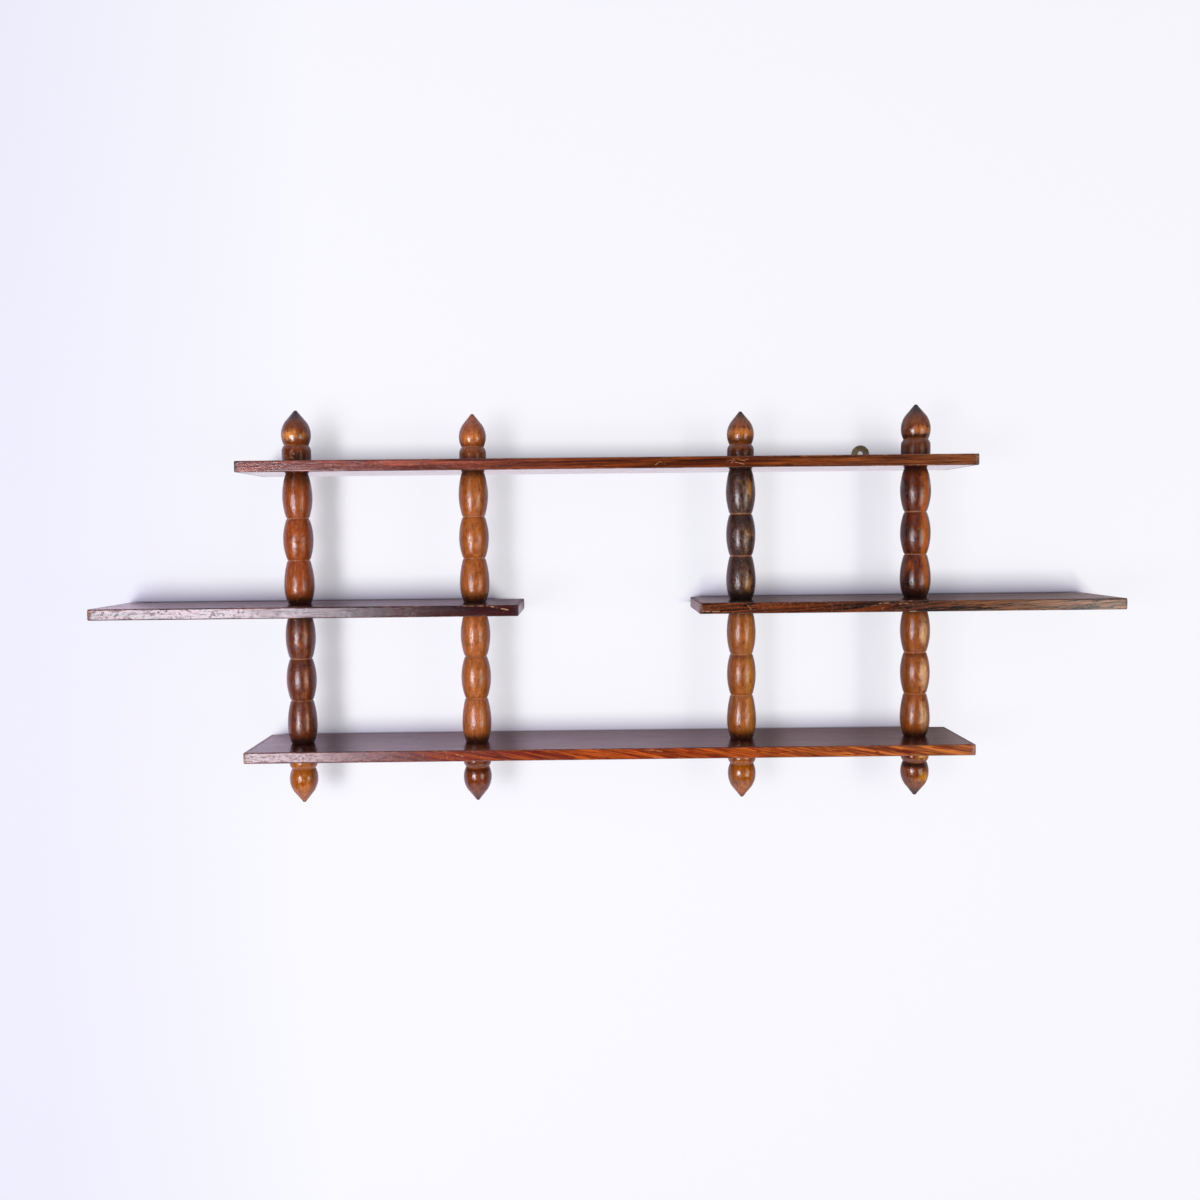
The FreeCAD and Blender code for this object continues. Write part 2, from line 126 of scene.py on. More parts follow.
class Graph:
    """The nodes of a material or of the world, added by kind and joined by name."""

    def __init__(self, owner, output):
        owner.use_nodes = True
        self.owner = owner
        self.tree = owner.node_tree
        self.tree.nodes.clear()
        self.output = self.tree.nodes.new(output)

    def put(self, socket, value):
        """Join a socket to another node's output, or set it."""
        if isinstance(value, bpy.types.NodeSocket):
            self.tree.links.new(value, socket)
        else:
            socket.default_value = value

    def add(self, kind, inputs=None, result=0, **settings):
        """Add a node with its settings and inputs, and give one of its outputs."""
        made = self.tree.nodes.new(kind)
        for key, value in settings.items():
            setattr(made, key, value)
        for key, value in (inputs or {}).items():
            self.put(made.inputs[key], value)
        return made.outputs[result]

    def math(self, operation, first, second=0.0, third=0.0, clamp=False):
        """Add a sum, product or other simple step."""
        inputs = {0: first, 1: second, 2: third}
        return self.add("ShaderNodeMath", inputs, operation=operation, use_clamp=clamp)

    def product(self, first, *others):
        """Multiply values."""
        for other in others:
            first = self.math("MULTIPLY", first, other)
        return first

    def away(self, value, middle):
        """Give the distance of a value from a middle."""
        return self.math("ABSOLUTE", self.math("SUBTRACT", value, middle))

    def vector(self, operation, first, second, result="Vector"):
        """Add a simple step between two vectors."""
        return self.add("ShaderNodeVectorMath", {0: first, 1: second}, result, operation=operation)

    def scaled(self, value, factor):
        """Make a colour lighter or darker, or a vector longer or shorter."""
        if not isinstance(value, bpy.types.NodeSocket):
            value = tuple(value)[:3]
        return self.add("ShaderNodeVectorMath", {0: value, "Scale": factor}, operation="SCALE")

    def own_place(self):
        """Give the piece's own coordinates."""
        return self.add("ShaderNodeTexCoord", result="Object")

    def part(self, vector, axis):
        """Give one coordinate of a vector."""
        return self.add("ShaderNodeSeparateXYZ", {0: vector}, axis)

    def place(self, scale, offset, slant):
        """Give the piece's own coordinates, slanted on its edges, stretched and shifted."""
        start = self.own_place()
        if slant:
            lift = self.product(self.part(start, "X"), slant, self.attribute("edge"))
            start = self.vector("SUBTRACT", start, self.add("ShaderNodeCombineXYZ", {"Z": lift}))
        return self.add("ShaderNodeMapping", {"Vector": start, "Location": offset, "Scale": scale})

    def noise(self, offset, scale, detail, roughness, distortion=0.0, slant=0.0):
        """Add a noise, with its scale as cycles in a metre along each axis."""
        inputs = {
            "Vector": self.place(scale, offset, slant),
            "Scale": 1.0,
            "Detail": detail,
            "Roughness": roughness,
            "Distortion": distortion,
        }
        return self.add("ShaderNodeTexNoise", inputs, "Fac")

    def span(self, value, low, high, to_low=0.0, to_high=1.0, course="LINEAR"):
        """Map one range of values to another, and stop at its ends."""
        inputs = {"Value": value, "From Min": low, "From Max": high}
        inputs["To Min"] = to_low
        inputs["To Max"] = to_high
        return self.add("ShaderNodeMapRange", inputs, interpolation_type=course)

    def mix(self, share, first, second):
        """Mix two colours."""
        inputs = {MIX_SHARE: share, MIX_FIRST: first, MIX_SECOND: second}
        return self.add("ShaderNodeMix", inputs, MIX_RESULT, data_type="RGBA")

    def blend(self, share, first, second):
        """Mix two shaders."""
        return self.add("ShaderNodeMixShader", {0: share, 1: first, 2: second})

    def ray(self, kind):
        """Give one for rays of a kind and nothing for others."""
        return self.add("ShaderNodeLightPath", result=kind)

    def attribute(self, name):
        """Read a value stored on the mesh."""
        return self.add("ShaderNodeAttribute", result="Fac", attribute_name=name)

    def ragged(self, name, figure, edge):
        """Read a stored value and break its outline along the figure of the wood."""
        off_middle = self.math("SUBTRACT", figure, NOISE_MIDDLE)
        torn = self.math("MULTIPLY_ADD", off_middle, edge, self.attribute(name))
        return self.span(torn, *RAGGED_SPAN)

    def near_point(self, centre, radius):
        """Give one near a point and nothing beyond a radius."""
        away = self.vector("DISTANCE", self.own_place(), centre, "Value")
        return self.span(away, radius, POINT_CORE * radius)

    def near_line(self, start, end, width):
        """Give one near a straight line and nothing beyond its width."""
        reach = Vector(end) - Vector(start)
        offset = self.vector("SUBTRACT", self.own_place(), start)
        along = self.vector("DOT_PRODUCT", offset, tuple(reach / reach.length_squared), "Value")
        held = self.math("MULTIPLY", along, 1.0, clamp=True)
        away = self.vector("DISTANCE", offset, self.scaled(reach, held), "Value")
        return self.span(away, width, LINE_CORE * width)

    def finish(self, surface):
        """Hand the finished surface to the output, and give what the nodes belong to."""
        self.put(self.output.inputs["Surface"], surface)
        return self.owner

    def varnished(self, colour, roughness, height, depth, shine):
        """Finish a stained and varnished surface."""
        bump = self.add("ShaderNodeBump", {"Height": height, "Strength": 1.0, "Distance": depth})
        inputs = {
            "Base Color": colour,
            "Roughness": roughness,
            "Normal": bump,
            "Specular IOR Level": shine,
        }
        return self.finish(self.add("ShaderNodeBsdfPrincipled", inputs))


def material_graph(name):
    """Start the nodes of a new material."""
    return Graph(bpy.data.materials.new(name), "ShaderNodeOutputMaterial")


# what the turned wood's noises do: between two levels of a noise a share or a factor goes from nothing
# to one, or from the third value to the fourth
TURNED_SHIFT = (1.37, 2.11, 0.73)
TURNED_STREAK_SHARE = 0.22
DARK_TO_MIDDLE = (0.34, 0.49)
MIDDLE_TO_LIGHT = (0.50, 0.66)
GLOW_EDGE = 1.4
STAIN_SHADE_EDGE = 1.5
STAIN_SHADE_MOST = 0.9
TURNED_FIBRE_SHADE = (0.3, 0.7, 0.64, 1.32)
TURNED_PORE_SPAN = (0.57, 0.68)
TURNED_PORE_DARK = 0.36
TURNED_PORE_DEPTH = 0.5
NECK_RUBBED = (0.38, 0.58, 0.25, 0.95)
MOTTLE_HEIGHT = 0.45
TURNED_ROUGH = (0.3, 0.7, 0.13, 0.19)
# a dark tone for pores, knots, dark stain and painted shade
STAIN_AND_SHADE_TONE = tone(30, 17, 13)
RUBBED_NECK = tone(186, 118, 70)


def turned_wood(name, look, seed, polish):
    """Stained wood with its grain along the post, with dark stain and painted shade, and pale wood and
    painted highlights, where the mesh says so.
    """
    graph = material_graph(name)
    dark, middle, light = [stain(*part) for part in look.tones]
    shift = tuple(seed * step for step in TURNED_SHIFT)
    fibre = graph.noise(shift, scale=(520, 520, 95), detail=4, roughness=0.65)
    streak = graph.noise(shift, scale=(250, 250, 10), detail=4, roughness=0.6, distortion=0.8)
    mottle = graph.noise(shift, scale=(280, 280, 200), detail=5, roughness=0.7)
    grit = graph.noise(shift, scale=(620, 620, 560), detail=3, roughness=0.65)
    cloud = graph.noise(shift, scale=(75, 75, 45), detail=4, roughness=0.6)
    pores = graph.noise(shift, scale=(800, 800, 520), detail=2, roughness=0.5)
    hole = graph.span(pores, *TURNED_PORE_SPAN)
    even = graph.product(mottle, 1 - TURNED_STREAK_SHARE)
    figure = graph.math("MULTIPLY_ADD", streak, TURNED_STREAK_SHARE, even)
    colour = graph.mix(graph.span(figure, *DARK_TO_MIDDLE), dark, middle)
    colour = graph.mix(graph.span(figure, *MIDDLE_TO_LIGHT), colour, light)
    # bright places of paler wood and painted highlights, as the mesh stores them
    colour = graph.mix(graph.ragged("glow", figure, GLOW_EDGE), colour, stain(*look.glow))
    colour = graph.scaled(colour, graph.span(fibre, *TURNED_FIBRE_SHADE))
    colour = graph.mix(graph.product(hole, TURNED_PORE_DARK), colour, STAIN_AND_SHADE_TONE)
    # dark stain and painted shade, as the mesh stores them
    stained_and_shaded = graph.product(graph.ragged("soak", figure, STAIN_SHADE_EDGE), STAIN_SHADE_MOST)
    colour = graph.mix(stained_and_shaded, colour, STAIN_AND_SHADE_TONE)
    bare = graph.product(graph.attribute("neck"), graph.span(cloud, *NECK_RUBBED))
    colour = graph.mix(bare, colour, RUBBED_NECK)
    for knot in look.knots:
        near = graph.near_point([step * MM for step in knot.centre], knot.radius * MM)
        colour = graph.mix(near, colour, STAIN_AND_SHADE_TONE)
    rough = graph.product(graph.span(mottle, *TURNED_ROUGH), polish)
    height = graph.math("MULTIPLY_ADD", mottle, MOTTLE_HEIGHT, grit)
    height = graph.math("SUBTRACT", height, graph.product(hole, TURNED_PORE_DEPTH))
    return graph.varnished(colour, rough, height, depth=0.21 * MM * polish, shine=0.76)


# what the boards' noises do
BOARD_SHIFT = (0.61, 1.93, 2.7)
FLECK_SHIFT = 3.1
SMEAR_SHADE = (0.35, 0.65, 0.5, 1.9)
RIDGE_LINE = (0.045, 0.012)
STREAK_DARK = (0.44, 0.62, 0.0, 0.85)
BOARD_FIBRE_SHADE = (0.3, 0.7, 0.42, 1.58)
BOARD_PORE_SPAN = (0.58, 0.70)
BOARD_PORE_DARK = 0.45
BOARD_PORE_DEPTH = 0.4
PORE_TONE = tone(26, 13, 10)
SCRAPE_FLECK = (0.69, 0.76, 0.0, 0.75)
SCRAPE_CLOUD = (0.45, 0.6)
SCRAPE_TONE = tone(206, 140, 92)
RUBBED_CLOUD = (0.62, 0.40, 0.35, 0.9)
RUBBED_TONE = tone(40, 18, 16)
CHIP_FLECK = (0.46, 0.60, 0.0, 0.9)
CHIP_CLOUD = (0.42, 0.58)
CHIP_TONE = tone(196, 138, 100)
SCRATCH_GRIT = (0.40, 0.52)
BOARD_ROUGH = (0.3, 0.7, 0.17, 0.25)
EDGE_ROUGH = -0.03
UNDER_ROUGH = -0.12
WORN_ROUGH = 0.3
SPECK_ROUGH = (0.52, 0.66, 0.0, 0.24)
FIBRE_HEIGHT = 0.35
EDGE_FIBRE_HEIGHT = -0.15
EDGE_GRIT_HEIGHT = 1.3
# a board's colours, the stretches in millimetres where its front changes colour, and its figure
BoardLook = namedtuple(
    "BoardLook", "face left right change far far_change dark figure wave slant shine scratches")


def board_wood(name, look, seed):
    """Dark stained board with its grain along the length, its arrises rubbed dark and pale."""
    graph = material_graph(name)
    shift = tuple(seed * step for step in BOARD_SHIFT)
    slant = look.slant
    fibre = graph.noise(shift, scale=(22, 420, 420), detail=5, roughness=0.7, slant=slant)
    streak = graph.noise(shift, scale=(9, 80, 330), detail=4, roughness=0.6, distortion=0.8, slant=slant)
    waves = (look.wave, 30, 190)
    ridge = graph.noise(shift, scale=waves, detail=3, roughness=0.5, distortion=1.2, slant=slant)
    pores = graph.noise(shift, scale=(90, 1000, 1000), detail=2, roughness=0.5, slant=slant)
    hole = graph.span(pores, *BOARD_PORE_SPAN)
    grit = graph.noise(shift, scale=(330, 520, 520), detail=3, roughness=0.6)
    fleck_shift = (shift[1], shift[0], FLECK_SHIFT)
    fleck = graph.noise(fleck_shift, scale=(260, 260, 800), detail=2, roughness=0.5, distortion=1.0)
    cloud = graph.noise(shift, scale=(24, 24, 60), detail=4, roughness=0.6)
    smear = graph.noise(shift, scale=(14, 45, 45), detail=4, roughness=0.65)
    on_edge = graph.attribute("edge")
    worn = graph.attribute("wear")
    along = graph.part(graph.own_place(), "X")
    rightward = graph.span(along, *[place * MM for place in look.change])
    far_off = graph.span(along, *[place * MM for place in look.far_change])
    edge_colour = graph.mix(rightward, stain(*look.left), stain(*look.right))
    edge_colour = graph.mix(far_off, edge_colour, stain(*look.far))
    face_colour = graph.scaled(tone(*look.face), graph.span(smear, *SMEAR_SHADE))
    colour = graph.mix(on_edge, face_colour, edge_colour)
    lines = graph.span(graph.away(ridge, NOISE_MIDDLE), *RIDGE_LINE)
    colour = graph.mix(graph.product(lines, look.figure), colour, stain(*look.dark))
    colour = graph.mix(graph.span(streak, *STREAK_DARK), colour, stain(*look.dark))
    colour = graph.scaled(colour, graph.span(fibre, *BOARD_FIBRE_SHADE))
    colour = graph.mix(graph.product(hole, BOARD_PORE_DARK), colour, PORE_TONE)
    scrape = graph.product(graph.span(fleck, *SCRAPE_FLECK), graph.span(cloud, *SCRAPE_CLOUD))
    colour = graph.mix(graph.product(scrape, on_edge), colour, SCRAPE_TONE)
    rubbed = graph.product(worn, graph.span(cloud, *RUBBED_CLOUD))
    colour = graph.mix(rubbed, colour, RUBBED_TONE)
    chipped = graph.product(worn, graph.span(fleck, *CHIP_FLECK), graph.span(cloud, *CHIP_CLOUD))
    colour = graph.mix(chipped, colour, CHIP_TONE)
    for scratch in look.scratches:
        start, end = [(x * MM, -HALF_DEPTH, z * MM) for x, z in (scratch.start, scratch.end)]
        line = graph.near_line(start, end, scratch.width * MM)
        broken = graph.product(line, graph.span(grit, *SCRATCH_GRIT))
        colour = graph.mix(broken, colour, tone(*scratch.mark))
    rough = graph.span(smear, *BOARD_ROUGH)
    rough = graph.math("MULTIPLY_ADD", on_edge, EDGE_ROUGH, rough)
    rough = graph.math("MULTIPLY_ADD", graph.attribute("under"), UNDER_ROUGH, rough)
    rough = graph.math("MULTIPLY_ADD", worn, WORN_ROUGH, rough)
    speck = graph.product(on_edge, graph.span(grit, *SPECK_ROUGH))
    leftward = graph.math("SUBTRACT", 1.0, rightward)
    rough = graph.math("MULTIPLY_ADD", speck, leftward, rough)
    fibre_height = graph.math("MULTIPLY_ADD", on_edge, EDGE_FIBRE_HEIGHT, FIBRE_HEIGHT)
    height = graph.product(fibre, fibre_height)
    height = graph.math("MULTIPLY_ADD", grit, graph.product(on_edge, EDGE_GRIT_HEIGHT), height)
    height = graph.math("SUBTRACT", height, graph.product(hole, BOARD_PORE_DEPTH))
    return graph.varnished(colour, rough, height, depth=0.1 * MM, shine=look.shine)


DOWEL_TONE = tone(176, 132, 88)
DOWEL_SHIFT = (1, 2, 3)
DOWEL_SHADE = (0.3, 0.7, 0.5, 1.0)


def plain_wood(name):
    """Bare wood of the hidden dowels."""
    graph = material_graph(name)
    fibre = graph.noise(DOWEL_SHIFT, scale=(700, 700, 24), detail=4, roughness=0.55)
    colour = graph.scaled(DOWEL_TONE, graph.span(fibre, *DOWEL_SHADE))
    return graph.varnished(colour, roughness=0.7, height=fibre, depth=0.04 * MM, shine=0.3)


TARNISH = tone(150, 130, 92)
BRIGHT_BRASS = tone(214, 194, 152)
BRASS_CLOUD_SHIFT = (3, 1, 4)
BRASS_GRIT_SHIFT = (5, 9, 2)
BRASS_SPAN = (0.38, 0.62)
BRASS_ROUGH = (0.3, 0.7, 0.55, 0.38)


def aged_brass(name):
    """Dull brass with dark tarnish in blotches."""
    graph = material_graph(name)
    cloud = graph.noise(BRASS_CLOUD_SHIFT, scale=(260, 260, 260), detail=5, roughness=0.65)
    grit = graph.noise(BRASS_GRIT_SHIFT, scale=(2600, 2600, 2600), detail=3, roughness=0.55)
    bump = {"Height": grit, "Strength": 0.25, "Distance": 0.1 * MM}
    inputs = {
        "Base Color": graph.mix(graph.span(cloud, *BRASS_SPAN), TARNISH, BRIGHT_BRASS),
        "Metallic": 0.55,
        "Roughness": graph.span(cloud, *BRASS_ROUGH),
        "Normal": graph.add("ShaderNodeBump", bump),
    }
    return graph.finish(graph.add("ShaderNodeBsdfPrincipled", inputs))


def store(mesh, name, values):
    """Keep one value for each point of a mesh."""
    layer = mesh.attributes.new(name, "FLOAT", "POINT")
    layer.data.foreach_set("value", values)


SHARP_ANGLE = math.radians(38)


def shown(name, mesh, place, material, node):
    """Put a finished mesh in the scene in place of its CAD node."""
    mesh.materials.clear()
    mesh.materials.append(material)
    for face in mesh.polygons:
        face.use_smooth = True
    mesh.set_sharp_from_angle(angle=SHARP_ANGLE)
    piece = bpy.data.objects.new(name, mesh)
    scene.collection.objects.link(piece)
    piece.location = place
    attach(piece, "root")
    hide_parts(node)


ARC_STEPS = 16
AROUND = 96


def level_arc(wide, other, upward):
    """Give points of an arc that is upright at its wide point, without the first one."""
    reach = wide[0] - other[0]
    rise = other[1] - wide[1]
    radius = (reach ** 2 + rise ** 2) / (2 * reach)
    sweep = math.asin(max(-1.0, min(1.0, rise / radius)))
    points = []
    for step in range(ARC_STEPS + 1):
        angle = sweep * step / ARC_STEPS
        across = wide[0] - radius * (1 - math.cos(angle))
        points.append((across, wide[1] + radius * math.sin(angle)))
    if upward:
        points.reverse()
    return points[1:]


def straight(start, end, steps):
    """Give evenly spaced points to the end of a line."""
    points = []
    for step in range(1, steps + 1):
        share = step / steps
        points.append((start[0] + (end[0] - start[0]) * share, start[1] + (end[1] - start[1]) * share))
    return points


GROOVE_ROUND = 0.35 * MM
GROOVE_EASE = 0.12 * MM
GROOVE_WANDER = 0.3 * MM
GIRTH_WANDER = 0.01


def spindle_profile(girth, chance):
    """Outline of a spindle of three bobbins, from socket to socket, and the heights of its grooves."""
    low = END_BOBBIN + chance.uniform(-GROOVE_WANDER, GROOVE_WANDER)
    high = END_BOBBIN + MIDDLE_BOBBIN + chance.uniform(-GROOVE_WANDER, GROOVE_WANDER)
    top = SPINDLE_LENGTH
    grooves = (low, high)
    heights = [END_BOBBIN * FOOT_WIDEST_SHARE, (low + high) / 2, (high + top) / 2]
    shares = [chance.uniform(1 - GIRTH_WANDER, 1 + GIRTH_WANDER) for height in heights]
    widths = [BOBBIN_RADIUS * girth * share for share in shares]
    starts = [FOOT_BEVEL, low + GROOVE_HALF, high + GROOVE_HALF]
    ends = [low - GROOVE_HALF, high - GROOVE_HALF, top - FOOT_BEVEL]
    points = [(0.0, SOCKET_DEPTH), (SOCKET_RADIUS, SOCKET_DEPTH), (SOCKET_RADIUS, 0.0), (FOOT_RADIUS, 0.0)]
    for number, wide in enumerate(zip(widths, heights)):
        points.append((NECK_RADIUS, starts[number]))
        points += level_arc(wide, (NECK_RADIUS, starts[number]), True)
        points += level_arc(wide, (NECK_RADIUS, ends[number]), False)
        if number < len(grooves):
            groove = grooves[number]
            points.append((GROOVE_RADIUS + GROOVE_EASE, groove - GROOVE_ROUND))
            points.append((GROOVE_RADIUS, groove))
            points.append((GROOVE_RADIUS + GROOVE_EASE, groove + GROOVE_ROUND))
    points += [(FOOT_RADIUS, top), (SOCKET_RADIUS, top)]
    points += [(SOCKET_RADIUS, top - SOCKET_DEPTH), (0.0, top - SOCKET_DEPTH)]
    return points, grooves


COLLAR_MARGIN = 0.1 * MM
COLLAR_EASE = 0.4 * MM
COLLAR_STEPS = 5
CONE_STEPS = 12
TIP_STEPS = 5
Finial = namedtuple("Finial", "collar bud radius")


def finial_profile(finial):
    """Outline of a finial, from its socket to its tip."""
    total = finial.collar + finial.bud
    collar_radius = finial.radius - COLLAR_MARGIN
    neck = (finial.radius - NECK_DROP, finial.collar)
    wide = (finial.radius, finial.collar + finial.bud * BUD_WIDEST_SHARE)
    cone = (finial.radius * CONE_RADIUS_SHARE, total - finial.bud * CONE_SHARE)
    shoulder = (collar_radius, finial.collar - SHOULDER_HEIGHT)
    points = [(0.0, SOCKET_DEPTH), (SOCKET_RADIUS, SOCKET_DEPTH), (SOCKET_RADIUS, 0.0)]
    points += [(collar_radius - COLLAR_EASE, 0.0), (collar_radius, COLLAR_EASE)]
    points += straight(points[-1], shoulder, COLLAR_STEPS)
    points += level_arc(shoulder, neck, False)
    points += level_arc(wide, neck, True)
    points += level_arc(wide, cone, False)
    points += straight(cone, (TIP_RADIUS, total - TIP_HEIGHT), CONE_STEPS)
    for step in range(1, TIP_STEPS):
        angle = math.pi / 2 * step / TIP_STEPS
        points.append((TIP_RADIUS * math.cos(angle), total - TIP_HEIGHT * (1 - math.sin(angle))))
    points.append((0.0, total))
    return points


def bell(value, middle, width):
    """Give a smooth hump of height one."""
    return math.exp(-((value - middle) / width) ** 2)


# a darker or brighter place: its height and its reach as shares of the piece, and how strong it is;
# some face one way, in degrees around the post, and spread as many degrees to either side
Spot = namedtuple("Spot", "share reach amount facing spread", defaults=(None, None))
FRONT_LEFT = -132
FRONT = -90
FRONT_RIGHT = -48
NECK_LINE = 0.5 * MM
# painted shade: the wood beside each groove is darkened
GROOVE_SHADE = 0.42
GROOVE_SHADE_REACH = 2.6 * MM
# the sides and backs of the posts are painted darker than their fronts: painted shade towards the posts'
# edges, and fronts worn lighter
SIDE_SHADE_AND_WEAR = 0.44
SIDE_SHADE_SPREAD = 42


def turned_from(turn, facing):
    """Give the angle between two ways to face, in degrees."""
    return (turn - facing + 180) % 360 - 180


def strength(spots, share, turn):
    """Give how strongly a set of spots marks one point."""
    most = 0.0
    for spot in spots:
        amount = spot.amount * bell(share, spot.share, spot.reach)
        if spot.facing is not None:
            amount *= bell(turned_from(turn, spot.facing), 0.0, spot.spread)
        most = max(most, amount)
    return most


# turned surfaces wander a little from the true round
WANDER = 0.09 * MM
WANDER_AROUND = 2
WANDER_ALONG = 90
WANDER_SHIFT = 7.3
WANDER_LEAST_RADIUS = 1.05 * SOCKET_RADIUS


def lathe(profile, seed):
    """Turn an outline into points and faces."""
    verts = []
    rows = []
    for radius, height in profile:
        if radius == 0.0:
            rows.append([len(verts)])
            verts.append((0.0, 0.0, height))
            continue
        row = []
        for step in range(AROUND):
            angle = 2 * math.pi * step / AROUND
            x, y = math.cos(angle), math.sin(angle)
            outer = radius
            if radius > WANDER_LEAST_RADIUS:
                lift = height * WANDER_ALONG + seed * WANDER_SHIFT
                outer += WANDER * noise.noise(Vector((x * WANDER_AROUND, y * WANDER_AROUND, lift)))
            row.append(len(verts))
            verts.append((outer * x, outer * y, height))
        rows.append(row)
    faces = []
    for low, high in zip(rows, rows[1:]):
        for step in range(AROUND):
            following = (step + 1) % AROUND
            if len(low) == 1:
                faces.append((low[0], high[following], high[step]))
            elif len(high) == 1:
                faces.append((low[step], low[following], high[0]))
            else:
                faces.append((low[step], low[following], high[following], high[step]))
    return verts, faces


def turning(name, profile, grooves, look, seed):
    """Make the mesh of a turning, with the values that its wood needs."""
    verts, faces = lathe(profile, seed)
    mesh = bpy.data.meshes.new(name)
    mesh.from_pydata(verts, [], faces)
    total = max(height for radius, height in profile)
    neck = []
    soak = []
    glow = []
    for x, y, z in verts:
        turn = math.degrees(math.atan2(y, x))
        shadow = GROOVE_SHADE * max(bell(z, groove, GROOVE_SHADE_REACH) for groove in grooves)
        side_shade_and_wear = SIDE_SHADE_AND_WEAR * (1 - bell(turned_from(turn, FRONT), 0.0, SIDE_SHADE_SPREAD))
        neck.append(max(bell(z, groove, NECK_LINE) for groove in grooves))
        # darker places: painted shade beside the grooves and on the posts' sides, with the look's stains
        # and painted shades
        soak.append(max(shadow, side_shade_and_wear, strength(look.soaks, z / total, turn)))
        # bright places: paler wood and painted highlights
        glow.append(strength(look.glows, z / total, turn))
    store(mesh, "neck", neck)
    store(mesh, "soak", soak)
    store(mesh, "glow", glow)
    return mesh


# a knot: its centre in millimetres from the middle of a turning's foot, and its radius
Knot = namedtuple("Knot", "centre radius")
